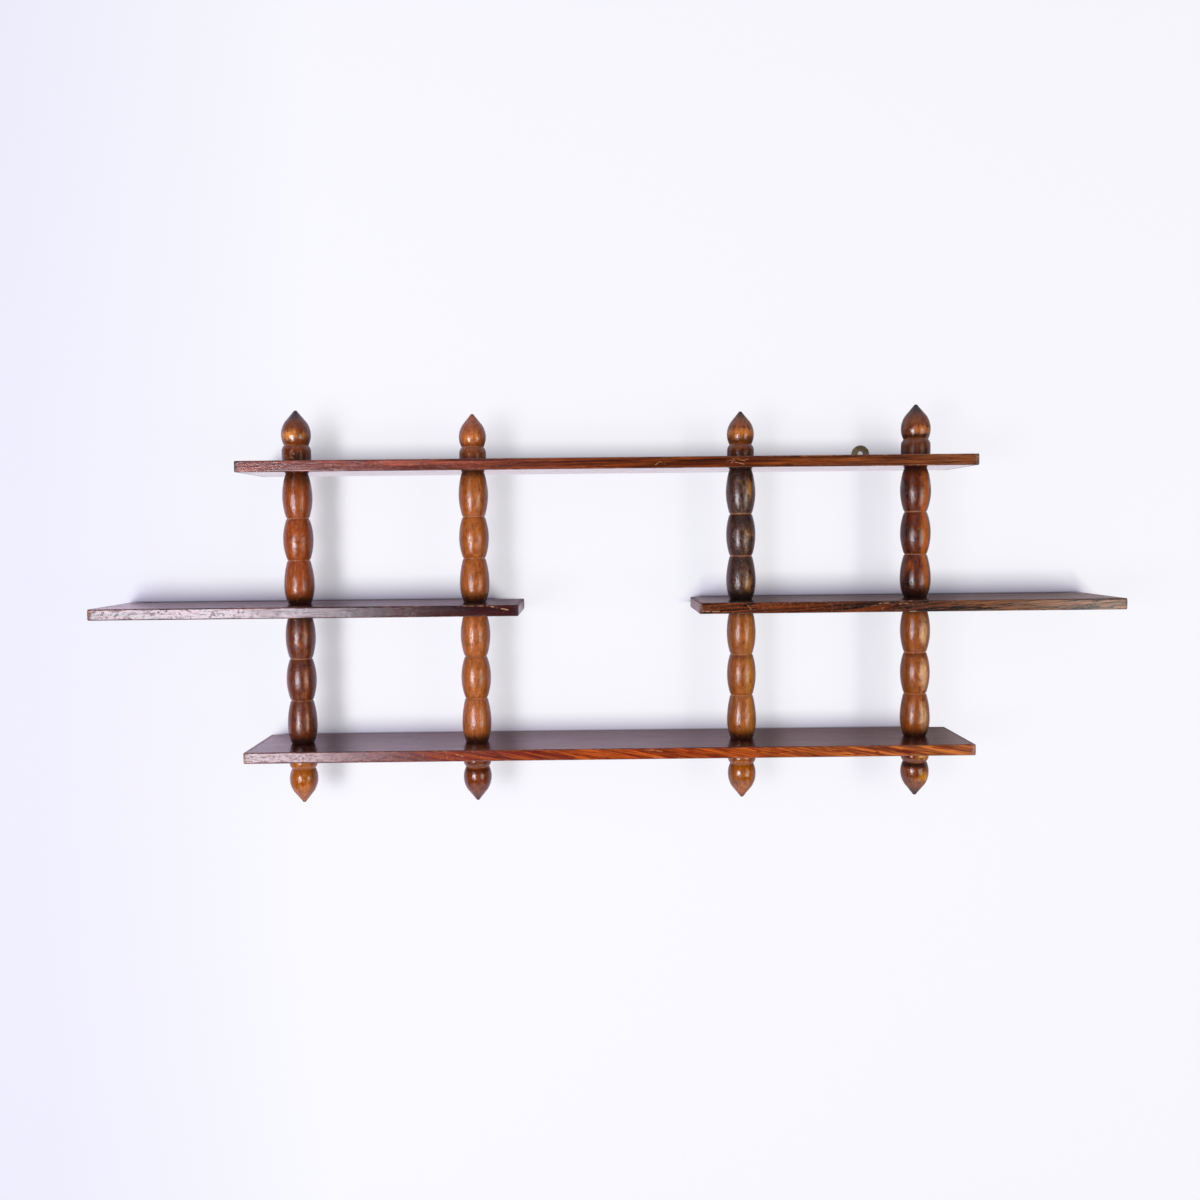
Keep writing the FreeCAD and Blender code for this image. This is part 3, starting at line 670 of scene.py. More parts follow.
# a turning: dark, middle and light tone, tone of its bright places, its darker places, which are dark
# stain and painted shade, its bright places, which are paler wood and painted highlights, and its knots
Turned = namedtuple("Turned", "tones glow soaks glows knots", defaults=((),))
# painted shade where a spindle meets a board: its foot and its head are darkened
FOOT_SHADE = Spot(0.0, 0.075, 0.95)
HEAD_SHADE = Spot(1.0, 0.06, 0.75)
GOLD = (196, 118, 46)
ORANGE = (184, 98, 42)
# the bright glows on the finials' buds are partly paler wood and partly painted highlights
LOOKS = {
    "far_left_top_finial": Turned(
        ((88, 46, 34), (126, 68, 42), (158, 86, 44)), (228, 150, 80),
        (Spot(1.0, 0.25, 1.0), Spot(0.72, 0.12, 0.42), Spot(0.10, 0.16, 0.62, facing=-62, spread=44)),
        (Spot(0.52, 0.11, 0.82, facing=-108, spread=40), Spot(0.10, 0.12, 0.4, facing=-122, spread=22),
         Spot(0.52, 0.09, 0.5, facing=-40, spread=30))),
    "far_left_upper_spindle": Turned(
        ((112, 54, 30), (150, 76, 40), (172, 92, 48)), ORANGE,
        (FOOT_SHADE, Spot(1.0, 0.12, 0.75)),
        ()),
    "far_left_lower_spindle": Turned(
        ((74, 41, 34), (106, 58, 42), (126, 70, 46)), ORANGE,
        (FOOT_SHADE, Spot(1.0, 0.10, 0.7), Spot(0.62, 0.05, 0.6, facing=-60, spread=50)),
        # the long glow facing -58 degrees is a painted highlight
        (Spot(0.78, 0.06, 0.45, facing=-80, spread=22), Spot(0.5, 0.8, 0.42, facing=-58, spread=13))),
    "far_left_bottom_finial": Turned(
        ((128, 68, 28), (160, 88, 36), (188, 116, 54)), GOLD,
        (Spot(1.0, 0.07, 0.6),),
        (Spot(0.12, 0.10, 0.7, facing=FRONT_LEFT, spread=60),)),
    "inner_left_top_finial": Turned(
        ((124, 66, 40), (156, 86, 52), (174, 104, 62)), (212, 130, 70),
        (Spot(1.0, 0.07, 0.6), Spot(0.02, 0.12, 0.45)),
        (Spot(0.50, 0.12, 0.78, facing=-100, spread=60),)),
    "inner_left_upper_spindle": Turned(
        ((122, 64, 32), (164, 92, 46), (188, 112, 58)), ORANGE,
        (FOOT_SHADE, HEAD_SHADE, Spot(0.94, 0.08, 0.5, facing=FRONT_LEFT, spread=50)),
        ()),
    "inner_left_lower_spindle": Turned(
        ((136, 74, 38), (170, 97, 50), (188, 114, 64)), ORANGE,
        (FOOT_SHADE, Spot(1.0, 0.03, 0.7)),
        ()),
    "inner_left_bottom_finial": Turned(
        ((78, 40, 26), (116, 60, 34), (138, 76, 42)), ORANGE,
        (Spot(1.0, 0.18, 0.7), Spot(0.36, 0.05, 0.6)),
        ()),
    "inner_right_top_finial": Turned(
        ((88, 50, 34), (128, 74, 46), (156, 92, 50)), (210, 132, 66),
        (Spot(1.0, 0.16, 0.95), Spot(0.37, 0.05, 0.5), Spot(0.08, 0.16, 0.5)),
        (Spot(0.54, 0.10, 0.62),)),
    "inner_right_upper_spindle": Turned(
        ((48, 35, 33), (78, 56, 49), (122, 90, 68)), (176, 118, 56),
        (FOOT_SHADE, Spot(1.0, 0.08, 0.7), Spot(0.62, 0.05, 0.7), Spot(0.30, 0.04, 0.6)),
        (Spot(0.86, 0.08, 0.9, facing=-58, spread=14), Spot(0.12, 0.08, 0.6, facing=-66, spread=22),
         Spot(0.50, 0.06, 0.4, facing=-60, spread=30))),
    "inner_right_lower_spindle": Turned(
        ((122, 66, 32), (152, 86, 42), (174, 106, 54)), (196, 128, 56),
        (FOOT_SHADE, HEAD_SHADE, Spot(0.64, 0.03, 0.5)),
        (Spot(0.5, 0.8, 0.75, facing=-52, spread=26),),
        (Knot((7.8, -10.9, 53.5), 1.3), Knot((7.2, -11.3, 55.5), 0.9))),
    "inner_right_bottom_finial": Turned(
        ((96, 52, 26), (158, 88, 34), (182, 108, 46)), GOLD,
        (Spot(1.0, 0.10, 0.7), Spot(0.66, 0.10, 0.5, facing=FRONT_LEFT, spread=40)),
        (Spot(0.50, 0.16, 0.5, facing=FRONT_RIGHT, spread=40),)),
    "far_right_top_finial": Turned(
        ((82, 48, 36), (122, 70, 48), (150, 90, 56)), (204, 130, 74),
        (Spot(1.0, 0.26, 0.95), Spot(0.39, 0.045, 0.78),
         Spot(0.02, 0.14, 0.75, facing=FRONT_RIGHT, spread=60)),
        (Spot(0.50, 0.08, 0.7, facing=-70, spread=60),)),
    "far_right_upper_spindle": Turned(
        ((56, 30, 26), (96, 50, 37), (126, 64, 38)), (182, 98, 44),
        # its darker left side and brighter right side are partly stain and partly painted shade and
        # painted highlight
        (Spot(0.0, 0.10, 0.9), HEAD_SHADE, Spot(0.84, 0.12, 0.75, facing=-150, spread=30),
         Spot(0.52, 0.12, 0.75, facing=-150, spread=34), Spot(0.12, 0.08, 0.8, facing=-140, spread=40)),
        (Spot(0.5, 0.8, 0.95, facing=-58, spread=24), Spot(0.25, 0.07, 0.5, facing=-130, spread=26))),
    "far_right_lower_spindle": Turned(
        ((108, 56, 26), (148, 80, 36), (164, 94, 46)), (220, 168, 114),
        (FOOT_SHADE, HEAD_SHADE, Spot(0.64, 0.03, 0.5), Spot(0.5, 0.6, 0.42, facing=-160, spread=30)),
        # the pale glows on its right side are painted highlights
        (Spot(0.82, 0.13, 0.8, facing=-64, spread=19), Spot(0.48, 0.13, 0.95, facing=-64, spread=20),
         Spot(0.16, 0.12, 0.85, facing=-64, spread=19)),
        (Knot((7.4, -11.1, 106.8), 1.4), Knot((7.1, -11.3, 109.2), 0.9))),
    "far_right_bottom_finial": Turned(
        ((78, 42, 20), (126, 66, 26), (164, 94, 36)), (218, 146, 54),
        (Spot(1.0, 0.20, 0.9), Spot(0.34, 0.08, 0.95), Spot(0.08, 0.2, 0.6, facing=-150, spread=40)),
        (Spot(0.60, 0.12, 0.8, facing=-55, spread=34), Spot(0.12, 0.12, 0.9, facing=-60, spread=40))),
}
GIRTH = {"far_right_upper_spindle": 1.025, "inner_right_lower_spindle": 0.985}
FINIALS = {
    "outer": Finial(collar=16.2 * MM, bud=31.9 * MM, radius=13.3 * MM),
    "inner": Finial(collar=13.1 * MM, bud=30.2 * MM, radius=12.3 * MM),
    "under": Finial(collar=13.4 * MM, bud=32.0 * MM, radius=12.9 * MM),
}
TURNED_SEED = 100
TURNED_WOOD_SEED = 3.0
FINIAL_POLISH = 0.65
UPSIDE_DOWN = Matrix.Diagonal((1, 1, -1, 1))

for number, (name, look) in enumerate(LOOKS.items()):
    post = name.rsplit("_", 2)[0]
    if name.endswith("spindle"):
        polish = 1.0
        chance = random.Random(TURNED_SEED + number)
        profile, grooves = spindle_profile(GIRTH.get(name, 1.0), chance)
        base = MIDDLE_TOP if "upper" in name else HALF_THICK
    else:
        polish = FINIAL_POLISH
        group = "under"
        if name.endswith("top_finial"):
            group = "outer" if post.startswith("far") else "inner"
        profile = finial_profile(FINIALS[group])
        grooves = (FINIALS[group].collar,)
        base = -HALF_THICK if group == "under" else TOP_TOP
    mesh = turning("turned_" + name, profile, grooves, look, number)
    if name.endswith("bottom_finial"):
        mesh.transform(UPSIDE_DOWN)
        mesh.flip_normals()
    wood = turned_wood("wood_" + name, look, TURNED_WOOD_SEED + number, polish)
    shown("turned_" + name, mesh, (POSTS[post], POST_LINE, base), wood, name)

# the long arrises of the boards are rounded, and points close beside them keep the flats flat
ARRIS = 0.9 * MM
ARRIS_HOLD = 0.5 * MM
CORNER_STEPS = 6
DEPTH_STEPS = 14
EDGE_STEPS = 4
CORNERS = [(1, 1), (-1, 1), (-1, -1), (1, -1)]
# a point of a board's section: its corner, how open to wear it is, and how far it faces along Y and down
Rim = namedtuple("Rim", "y z corner worn edge under")


def section():
    """Give the outline of a board's section."""
    ring = []
    for number, (side, up) in enumerate(CORNERS):
        centre_y = side * (HALF_DEPTH - ARRIS)
        centre_z = up * (HALF_THICK - ARRIS)
        first = number * 90
        for step in range(CORNER_STEPS + 1):
            angle = math.radians(first + 90 * step / CORNER_STEPS)
            out_y = math.cos(angle)
            out_z = math.sin(angle)
            worn = math.sin(math.pi * step / CORNER_STEPS)
            y = centre_y + ARRIS * out_y
            z = centre_z + ARRIS * out_z
            ring.append(Rim(y, z, (side, up), worn, abs(out_y), max(0.0, -out_z)))
        next_side, next_up = CORNERS[(number + 1) % len(CORNERS)]
        leave = math.radians(first + 90)
        end_y = next_side * (HALF_DEPTH - ARRIS) + ARRIS * math.cos(leave)
        end_z = next_up * (HALF_THICK - ARRIS) + ARRIS * math.sin(leave)
        flat = number % 2 == 0
        count = DEPTH_STEPS if flat else EDGE_STEPS
        last = ring[-1]
        hold = ARRIS_HOLD / math.hypot(end_y - last.y, end_z - last.z)
        for share in [hold, *[step / count for step in range(1, count)], 1 - hold]:
            y = last.y + (end_y - last.y) * share
            z = last.z + (end_z - last.z) * share
            under = 1.0 if flat and z < 0 else 0.0
            ring.append(Rim(y, z, (0, 0), 0.0, 0.0 if flat else 1.0, under))
    return ring


DENT_SPACING = 8 * MM
BACK_DENT_SHARE = 0.5
DENT_HALF = 0.8 * MM
DENT_HALF_RANGE = 2.2 * MM
DENT_DEPTH = 0.12 * MM
DENT_DEPTH_RANGE = 0.42 * MM
Dent = namedtuple("Dent", "middle half depth")


def dents(chance, length):
    """Scatter small dents along the four long arrises of a board, more of them along the front."""
    made = {}
    for corner in CORNERS:
        marks = []
        share = 1.0 if corner[0] < 0 else BACK_DENT_SHARE
        for number in range(int(share * length / DENT_SPACING)):
            half = DENT_HALF + DENT_HALF_RANGE * chance.random() ** 2
            depth = DENT_DEPTH + DENT_DEPTH_RANGE * chance.random() ** 2
            marks.append(Dent(chance.uniform(0, length), half, depth))
        made[corner] = marks
    return made


# the arrises are also worn softly along their length
SOFT_ALONG = 60
SOFT_SIDE = 3.1
SOFT_UP = 5.7
SOFT_DEPTH = 0.12 * MM
SOFT_WEAR = 0.5
FRONT_WEAR = 0.5
BACK_WEAR = 0.1
FULL_WEAR_DEPTH = 0.35 * MM
DENT_PUSH = 0.7


def arris_wear(rim, x, marks, seed):
    """Give how far a point of an arris is worn in at one place along a board, and how rubbed it looks."""
    side, up = rim.corner
    soft = max(0.0, noise.noise(Vector((x * SOFT_ALONG, side * SOFT_SIDE, up * SOFT_UP + seed))))
    deep = 0.0
    for dent in marks[rim.corner]:
        if abs(x - dent.middle) < dent.half:
            deep = max(deep, dent.depth * (1 - ((x - dent.middle) / dent.half) ** 2))
    deep += SOFT_DEPTH * soft
    least = FRONT_WEAR if side < 0 else BACK_WEAR
    worn = least + SOFT_WEAR * soft + min(1.0, deep / FULL_WEAR_DEPTH)
    return deep * rim.worn * DENT_PUSH, rim.worn * worn


# the rounding of a board's ends: millimetres from the end, and how far the section is set in there
END_ROUND = [(0.0, 0.95), (0.12, 0.55), (0.35, 0.25), (0.65, 0.08), (0.95, 0.0)]
END_LENGTH = 2 * MM
END_WEAR = 0.9
END_WEAR_REACH = 3 * MM
END_RINGS = (0.9 * MM, 2.2 * MM)
END_FACE_WEAR = 0.12
STATION = 2 * MM
Point = namedtuple("Point", "place wear edge under")


def stations_of(length):
    """Give places along a board, close together at its rounded ends, and how far each is set in."""
    stations = [(step * MM, inset * MM) for step, inset in END_ROUND]
    inner = length - 2 * END_LENGTH
    count = int(inner / STATION)
    stations += [(END_LENGTH + inner * step / count, 0.0) for step in range(1, count)]
    stations += [(length - step * MM, inset * MM) for step, inset in reversed(END_ROUND)]
    return stations


def set_in(place, inset):
    """Move a point of a board towards the middle of its section."""
    x, y, z = place
    return (x, y * (1 - inset / HALF_DEPTH), z * (1 - inset / HALF_THICK))


def board_mesh(name, length, seed, pins, plates):
    """Build one board with eased, worn arrises, holes for its dowels and notches for its plates."""
    outline = section()
    marks = dents(random.Random(seed), length)
    stations = stations_of(length)
    points = []
    for x, inset in stations:
        end_wear = END_WEAR * bell(min(x, length - x), 0.0, END_WEAR_REACH)
        for rim in outline:
            push, rubbed = arris_wear(rim, x, marks, seed) if rim.worn > 0 else (0.0, 0.0)
            x_here, y, z = set_in((x - length / 2, rim.y, rim.z), inset)
            place = (x_here, y - rim.corner[0] * push, z - rim.corner[1] * push)
            points.append(Point(place, min(1.0, max(end_wear, rubbed)), rim.edge, rim.under))
    around = len(outline)
    faces = []
    for row in range(len(stations) - 1):
        low = row * around
        high = low + around
        for step in range(around):
            following = (step + 1) % around
            faces.append((low + step, high + step, high + following, low + following))
    for row, flipped in ((0, False), (len(stations) - 1, True)):
        border = list(range(row * around, (row + 1) * around))
        previous = border
        for inset in END_RINGS:
            ring = list(range(len(points), len(points) + around))
            for number in border:
                points.append(Point(set_in(points[number].place, inset), END_FACE_WEAR, 1.0, 0.0))
            for step in range(around):
                following = (step + 1) % around
                face = (previous[step], previous[following], ring[following], ring[step])
                faces.append(face[::-1] if flipped else face)
            previous = ring
        faces.append(tuple(previous[::-1] if flipped else previous))
    mesh = bpy.data.meshes.new(name)
    mesh.from_pydata([point.place for point in points], [], faces)
    for value in ("wear", "edge", "under"):
        store(mesh, value, [getattr(point, value) for point in points])
    return drilled(mesh, pins, plates)


HOLE_SIDES = 32
CUT_HEIGHT = 3 * BOARD_THICK


def drilled(mesh, pins, plates):
    """Cut the dowel holes and plate notches out of a board."""
    tool = bmesh.new()
    for pin in pins:
        spot = Matrix.Translation((pin, HALF_DEPTH + POST_LINE, 0))
        bmesh.ops.create_cone(tool, cap_ends=True, segments=HOLE_SIDES, radius1=SOCKET_RADIUS,
                              radius2=SOCKET_RADIUS, depth=CUT_HEIGHT, matrix=spot)
    for plate in plates:
        size = (PLATE_LENGTH + 2 * PLATE_PLAY, 2 * PLATE_THICK, CUT_HEIGHT)
        spot = Matrix.Translation((plate, HALF_DEPTH, 0)) @ Matrix.Diagonal((*size, 1))
        bmesh.ops.create_cube(tool, size=1.0, matrix=spot)
    cutter_mesh = bpy.data.meshes.new("cutter")
    tool.to_mesh(cutter_mesh)
    tool.free()
    cutter = bpy.data.objects.new("cutter", cutter_mesh)
    body = bpy.data.objects.new("uncut", mesh)
    scene.collection.objects.link(cutter)
    scene.collection.objects.link(body)
    cut = body.modifiers.new("cut", "BOOLEAN")
    cut.operation = "DIFFERENCE"
    cut.solver = "EXACT"
    cut.object = cutter
    settled = bpy.context.evaluated_depsgraph_get()
    done = bpy.data.meshes.new_from_object(body.evaluated_get(settled))
    bpy.data.objects.remove(body)
    bpy.data.objects.remove(cutter)
    return done


PALE_MARK = (206, 152, 108)
WHITE_MARK = (214, 200, 190)
TAN_MARK = (186, 120, 74)
DARK_MARK = (34, 18, 18)
# a scratch on a board's front: where it starts and ends, across and up from the middle of that face, and
# how wide it is, in millimetres
Scratch = namedtuple("Scratch", "start end width mark")
Board = namedtuple("Board", "length middle under pins plates look")
all_pins = list(POSTS.values())
wing_length = WING_END - WING_GAP
wing_middle = (WING_END + WING_GAP) / 2
BOARDS = {
    "top_shelf": Board(TOP_LENGTH, 0.0, TOP_UNDER, all_pins, [LEFT_PLATE, RIGHT_PLATE], BoardLook(
        face=(70, 34, 28), left=(156, 82, 68), right=(132, 68, 38), change=(-200, 0), far=(144, 86, 54),
        far_change=(120, 300), dark=(60, 28, 20), figure=0.4, wave=9, slant=0.0,
        shine=0.64, scratches=[
            Scratch((104, 0.4), (116, 2.4), 0.32, TAN_MARK),
            Scratch((108, -1.6), (114, 3.0), 0.32, PALE_MARK),
            Scratch((110, 2.8), (121, 0.4), 0.30, TAN_MARK),
            Scratch((112, -0.4), (120, -2.4), 0.30, PALE_MARK),
            Scratch((116, 1.0), (124, 2.0), 0.28, TAN_MARK),
            Scratch((42, -2.2), (46, 0.8), 0.30, PALE_MARK),
            Scratch((46, 0.8), (52, -2.6), 0.30, TAN_MARK),
            Scratch((170, 4.2), (206, 4.5), 0.4, TAN_MARK),
        ])),
    "left_middle_shelf": Board(wing_length, -wing_middle, MIDDLE_UNDER, all_pins[:2], [], BoardLook(
        face=(84, 50, 56), left=(100, 52, 52), right=(66, 34, 36), change=(-60, 60), far=(72, 36, 38),
        far_change=(100, 190), dark=(50, 24, 24), figure=0.4, wave=9, slant=0.0,
        shine=0.7, scratches=[
            Scratch((141, 4.7), (163, 4.4), 0.6, PALE_MARK),
            Scratch((163, 4.4), (181, 0.6), 0.6, PALE_MARK),
            Scratch((-79, -5.0), (-74, 0.2), 0.7, DARK_MARK),
            Scratch((-84, -4.8), (-80, -2.8), 0.6, DARK_MARK),
            Scratch((-82, 4.6), (-88, 2.0), 0.5, DARK_MARK),
        ])),
    "right_middle_shelf": Board(wing_length, wing_middle, MIDDLE_UNDER, all_pins[2:], [], BoardLook(
        # its pale tan far tone at the right end is partly paler wood and partly a painted reflection, the
        # haze of the right lamp
        face=(86, 54, 48), left=(114, 60, 28), right=(140, 94, 66), change=(-20, 120), far=(150, 106, 80),
        far_change=(120, 190), dark=(30, 16, 13), figure=1.0, wave=9, slant=0.06,
        shine=0.7, scratches=[
            Scratch((-188, -2.6), (-165, -3.0), 0.4, PALE_MARK),
            Scratch((-148, 3.0), (-144, -1.6), 0.35, TAN_MARK),
            Scratch((-31, 2.6), (-22, 3.2), 0.35, PALE_MARK),
            Scratch((-13, 2.0), (-2, 3.0), 0.35, PALE_MARK),
            Scratch((-4, -4.7), (3, -4.9), 0.6, WHITE_MARK),
        ])),
    "bottom_shelf": Board(BOTTOM_LENGTH, 0.0, -HALF_THICK, all_pins, [], BoardLook(
        face=(72, 38, 32), left=(104, 52, 40), right=(178, 84, 26), change=(-230, -20), far=(190, 112, 56),
        far_change=(60, 310), dark=(96, 38, 16), figure=0.75, wave=14, slant=-0.2,
        shine=0.71, scratches=[
            Scratch((-146, 3.8), (-145, -2.4), 0.3, PALE_MARK),
            Scratch((-138, 1.6), (-131, -0.6), 0.3, PALE_MARK),
            Scratch((28, 3.4), (46, 2.2), 0.35, PALE_MARK),
            Scratch((38, -3.0), (47, -4.2), 0.35, PALE_MARK),
        ])),
}
BOARD_SEED = 40
BOARD_WOOD_SEED = 5.0
BOARD_WOOD_STEP = 3
for number, (name, board) in enumerate(BOARDS.items()):
    own_pins = [pin - board.middle for pin in board.pins]
    own_plates = [plate - board.middle for plate in board.plates]
    mesh = board_mesh("worn_" + name, board.length, BOARD_SEED + number, own_pins, own_plates)
    wood = board_wood("wood_" + name, board.look, BOARD_WOOD_SEED + BOARD_WOOD_STEP * number)
    place = (board.middle, -HALF_DEPTH, board.under + HALF_THICK)
    shown("worn_" + name, mesh, place, wood, name)

# the hanging plates, their screws and the dowels keep their CAD meshes
kept_looks = {"hanger": aged_brass("aged_brass"), "dowel": plain_wood("dowel_wood")}
for name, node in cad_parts.items():
    for word, material in kept_looks.items():
        if word in name:
            node.data.materials.clear()
            node.data.materials.append(material)

# the wall's paint, and what the polished wood mirrors of it
WALL_COLOUR = (0.95, 0.952, 1.0, 1.0)
LEFT_COLOUR = (0.865, 0.862, 0.982, 1.0)
LEFT_SPAN = (-0.28, -0.55)
LEFT_MIRRORED = (0.98, 0.84, 1.0, 1.0)
RIGHT_MIRRORED = (0.72, 0.59, 0.61, 1.0)
UNDER_MIRRORED = (0.98, 0.89, 1.0, 1.0)
UNDER_MIDDLE = TOP_UNDER - 3 * MM
UNDER_BAND = (14 * MM, 6 * MM)
OPEN_GLOW = 0.84
# the painted shading over a board, where the wall's glow is cut and its paint is lilac: heights over its
# top where it is full and where it ends, and its ends' shifts
Shading = namedtuple("Shading", "full none left right")
END_FADE = 10 * MM
# painted shade tint: the wall's paint turns lilac where the boards' shading falls
SHADE_LILAC = (0.81, 0.77, 1.0, 1.0)
SHADINGS = {
    "top_shelf": Shading(full=-4 * MM, none=22 * MM, left=6 * MM, right=-36 * MM),
    "left_middle_shelf": Shading(full=0.0, none=25 * MM, left=-2 * MM, right=-20 * MM),
    "right_middle_shelf": Shading(full=0.0, none=25 * MM, left=0.0, right=4 * MM),
    "bottom_shelf": Shading(full=-2 * MM, none=19 * MM, left=6 * MM, right=-30 * MM),
}
# a painted shadow: a dark line on the wall just over each board's top
CONTACT_SHADOW_TONE = tone(96, 84, 98)
CONTACT_SHADOW_LINE = Shading(full=0.0, none=1.6 * MM, left=END_FADE, right=-END_FADE)
# the painted shading beside the posts, where the wall's glow is cut so the shadows show darker: its
# middle, its half width and how much of the wall's glow it takes
PostShade = namedtuple("PostShade", "across half loss")
POST_SHADES = [
    PostShade(across=-OUTER_POST + 15.5 * MM, half=25 * MM, loss=0.55),
    PostShade(across=-INNER_POST + 20 * MM, half=27 * MM, loss=0.34),
    PostShade(across=INNER_POST + 24 * MM, half=26 * MM, loss=0.14),
    PostShade(across=INNER_POST - 32 * MM, half=26 * MM, loss=0.14),
    PostShade(across=OUTER_POST - 26 * MM, half=30 * MM, loss=0.32),
]
POST_SHADE_CORE = 0.3
POST_ZONE_MIDDLE = MIDDLE_UNDER - 4 * MM
POST_ZONE = 200 * MM
POST_ZONE_FADE = 50 * MM


def clear_of(graph, across, up, board, shading):
    """Give nothing on the wall where a board's shading is full, and one beyond it."""
    rise = graph.math("SUBTRACT", up, board.under + BOARD_THICK)
    over = graph.span(rise, shading.full, shading.none)
    under = graph.math("LESS_THAN", rise, -HALF_THICK)
    left = board.middle - board.length / 2 + shading.left
    right = board.middle + board.length / 2 + shading.right
    off_left = graph.span(graph.math("SUBTRACT", across, rise), left + END_FADE, left - END_FADE)
    off_right = graph.span(graph.math("ADD", across, rise), right - END_FADE, right + END_FADE)
    beyond = graph.math("MAXIMUM", off_left, off_right)
    return graph.math("MAXIMUM", graph.math("MAXIMUM", over, under), beyond)


def open_wall(graph, across, up):
    """Give how open the wall is: nothing where a board's top meets it, one away from all boards."""
    shares = [clear_of(graph, across, up, board, SHADINGS[name]) for name, board in BOARDS.items()]
    return graph.product(*shares)


def wall_glow(graph, across, up, share):
    """Give how much of the wall's shade is hidden: less over the boards and beside the posts."""
    glow = graph.product(share, OPEN_GLOW)
    off_middle = graph.away(up, POST_ZONE_MIDDLE)
    within = graph.span(off_middle, POST_ZONE, POST_ZONE - POST_ZONE_FADE, course="SMOOTHSTEP")
    for shade in POST_SHADES:
        off = graph.away(across, shade.across)
        near = graph.span(off, shade.half, POST_SHADE_CORE * shade.half, 0.0, shade.loss, "SMOOTHSTEP")
        kept = graph.math("SUBTRACT", 1.0, graph.product(near, within, share))
        glow = graph.product(glow, kept)
    return glow


def stage_surface(graph, paint, lamp, glow, glare):
    """Finish a pale surface that keeps soft shadows and can't be seen from behind."""
    matt = graph.add("ShaderNodeBsdfDiffuse", {"Color": paint})
    light = graph.add("ShaderNodeEmission", {"Color": lamp})
    seen = graph.math("MULTIPLY_ADD", graph.ray("Is Camera Ray"), glow, glare)
    front = graph.blend(seen, matt, light)
    behind = graph.add("ShaderNodeNewGeometry", result="Backfacing")
    return graph.finish(graph.blend(behind, front, graph.add("ShaderNodeBsdfTransparent")))


def wall_paint(name):
    """Pale paint of the wall, with painted shading over the boards and beside the posts: lilac paint, a
    dark painted shadow line where each board meets it, and less glow where the shadows fall.
    """
    graph = material_graph(name)
    reflected = graph.ray("Is Glossy Ray")
    across = graph.part(graph.own_place(), "X")
    up = graph.part(graph.own_place(), "Z")
    share = open_wall(graph, across, up)
    plain = graph.mix(graph.span(across, *LEFT_SPAN), WALL_COLOUR, LEFT_COLOUR)
    paint = graph.mix(share, SHADE_LILAC, plain)
    # painted shadow lines where the boards' tops meet the wall
    for board in BOARDS.values():
        paint = graph.mix(clear_of(graph, across, up, board, CONTACT_SHADOW_LINE), CONTACT_SHADOW_TONE, paint)
    rightward = graph.span(across, -INNER_POST, OUTER_POST)
    paint = graph.mix(reflected, paint, graph.mix(rightward, LEFT_MIRRORED, RIGHT_MIRRORED))
    lamp = graph.mix(reflected, plain, UNDER_MIRRORED)
    glow = wall_glow(graph, across, up, share)
    glare = graph.product(reflected, graph.span(graph.away(up, UNDER_MIDDLE), *UNDER_BAND))
    return stage_surface(graph, paint, lamp, glow, glare)


FLOOR_COLOUR = (0.92, 0.92, 0.94, 1.0)
FLOOR_GLOW = 0.85


def floor_paint(name):
    """Even pale paint of the floor."""
    graph = material_graph(name)
    return stage_surface(graph, FLOOR_COLOUR, FLOOR_COLOUR, FLOOR_GLOW, graph.ray("Is Glossy Ray"))


def sheet_of(name, half, start, end, material):
    """Lay one flat stage surface between two level lines, each given by its Y and its height."""
    mesh = bpy.data.meshes.new(name)
    corners = [(-half, *start), (half, *start), (half, *end), (-half, *end)]
    mesh.from_pydata(corners, [], [(0, 1, 2, 3)])
    mesh.materials.append(material)
    made = bpy.data.objects.new(name, mesh)
    scene.collection.objects.link(made)
    return made


# the wall behind and a floor well below
FLOOR_LEVEL = -1.3
FLOOR_REACH = 1.7
WALL_HALF = 4.0
WALL_TOP = 3.0
WALL_Y = 0.8 * MM
wall = sheet_of("wall", WALL_HALF, (WALL_Y, FLOOR_LEVEL), (WALL_Y, WALL_TOP), wall_paint("wall_paint"))
wall.visible_diffuse = False
wall.visible_shadow = False
floor_front = (-FLOOR_REACH, FLOOR_LEVEL)
floor_back = (FLOOR_REACH, FLOOR_LEVEL)
sheet_of("floor", FLOOR_REACH, floor_front, floor_back, floor_paint("floor_paint"))

# the world: even light from the front and the back, dimmer light for the polish to mirror, and a pale view
DIM = (0.05, 0.05, 0.055, 1.0)
FACING_FILL = (0.75, 0.75, 0.79, 1.0)
FACING_SPAN = (0.5, 0.95)
HIGH_LIGHT = (0.55, 0.54, 0.62, 1.0)
HIGH_SPAN = (0.2, 0.9)
PALE = (0.94, 0.94, 0.97, 1.0)


def backdrop(graph, colour):
    """Add one background of the world."""
    return graph.add("ShaderNodeBackground", {"Color": colour})


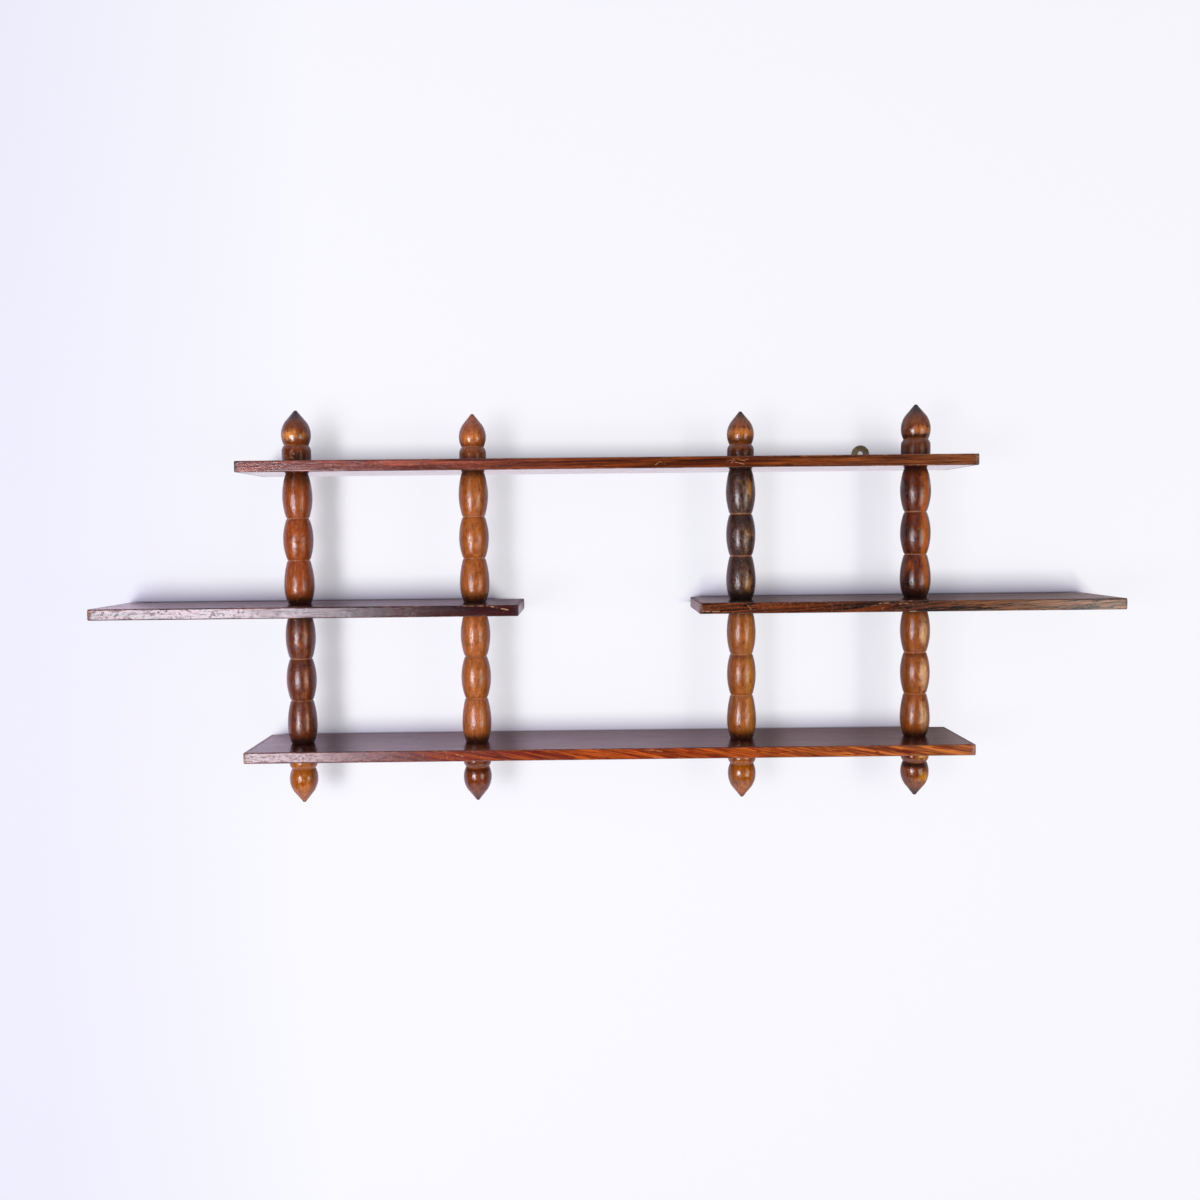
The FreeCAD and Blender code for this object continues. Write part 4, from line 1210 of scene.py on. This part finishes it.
def studio(name):
    """Make the world around the stage."""
    graph = Graph(bpy.data.worlds.new(name), "ShaderNodeOutputWorld")
    direction = graph.add("ShaderNodeTexCoord", result="Generated")
    facing = graph.span(graph.math("ABSOLUTE", graph.part(direction, "Y")), *FACING_SPAN)
    high = graph.span(graph.part(direction, "Z"), *HIGH_SPAN)
    soft = backdrop(graph, graph.mix(facing, DIM, FACING_FILL))
    mirrored = backdrop(graph, graph.mix(high, DIM, HIGH_LIGHT))
    lit = graph.blend(graph.ray("Is Glossy Ray"), soft, mirrored)
    return graph.finish(graph.blend(graph.ray("Is Camera Ray"), lit, backdrop(graph, PALE)))


scene.world = studio("studio")

# two soft boxes in front, aimed at the shelf
AIM = Vector((0.0, -0.05, 0.13))
SoftBox = namedtuple("SoftBox", "place size power colour")
SOFT_BOXES = {
    "left_box": SoftBox(place=(-0.82, -1.5, -0.08), size=0.58, power=15.8, colour=(1.0, 0.96, 1.07)),
    "right_box": SoftBox(place=(1.35, -1.5, -0.12), size=0.8, power=9.0, colour=(1.0, 0.96, 0.88)),
}
for name, box in SOFT_BOXES.items():
    lamp = bpy.data.lights.new(name, "AREA")
    lamp.shape = "SQUARE"
    lamp.size = box.size
    lamp.energy = box.power
    lamp.color = box.colour
    made = bpy.data.objects.new(name, lamp)
    scene.collection.objects.link(made)
    made.location = box.place
    made.rotation_mode = "QUATERNION"
    made.rotation_quaternion = (AIM - Vector(box.place)).to_track_quat("-Z", "Y")
    made.visible_camera = False

# the photograph's viewpoint, with its focal length in pixels of the frame
CAMERA_PLACE = (-0.016883, -1.202312, 0.199828)
CAMERA_FOCUS = 1250.2
FRAME_WIDTH = 1200
SENSOR_WIDTH = 36.0
PITCH = math.radians(3.238)
YAW = math.radians(-0.467)
ROLL = math.radians(-0.6)
eye = bpy.data.cameras.new("viewpoint")
eye.sensor_width = SENSOR_WIDTH
eye.lens = SENSOR_WIDTH * CAMERA_FOCUS / FRAME_WIDTH
camera = bpy.data.objects.new("viewpoint", eye)
scene.collection.objects.link(camera)
roll = Matrix.Rotation(ROLL, 3, "Z")
tilt = Matrix.Rotation(PITCH, 3, "X")
turn = Matrix.Rotation(YAW, 3, "Y")
axes = Matrix(((1, 0, 0), (0, 0, -1), (0, 1, 0)))
to_camera = Matrix.Diagonal((1, -1, -1)) @ roll @ tilt @ turn @ axes
camera.matrix_world = Matrix.Translation(CAMERA_PLACE) @ to_camera.transposed().to_4x4()
scene.camera = camera
scene.view_settings.view_transform = "Standard"
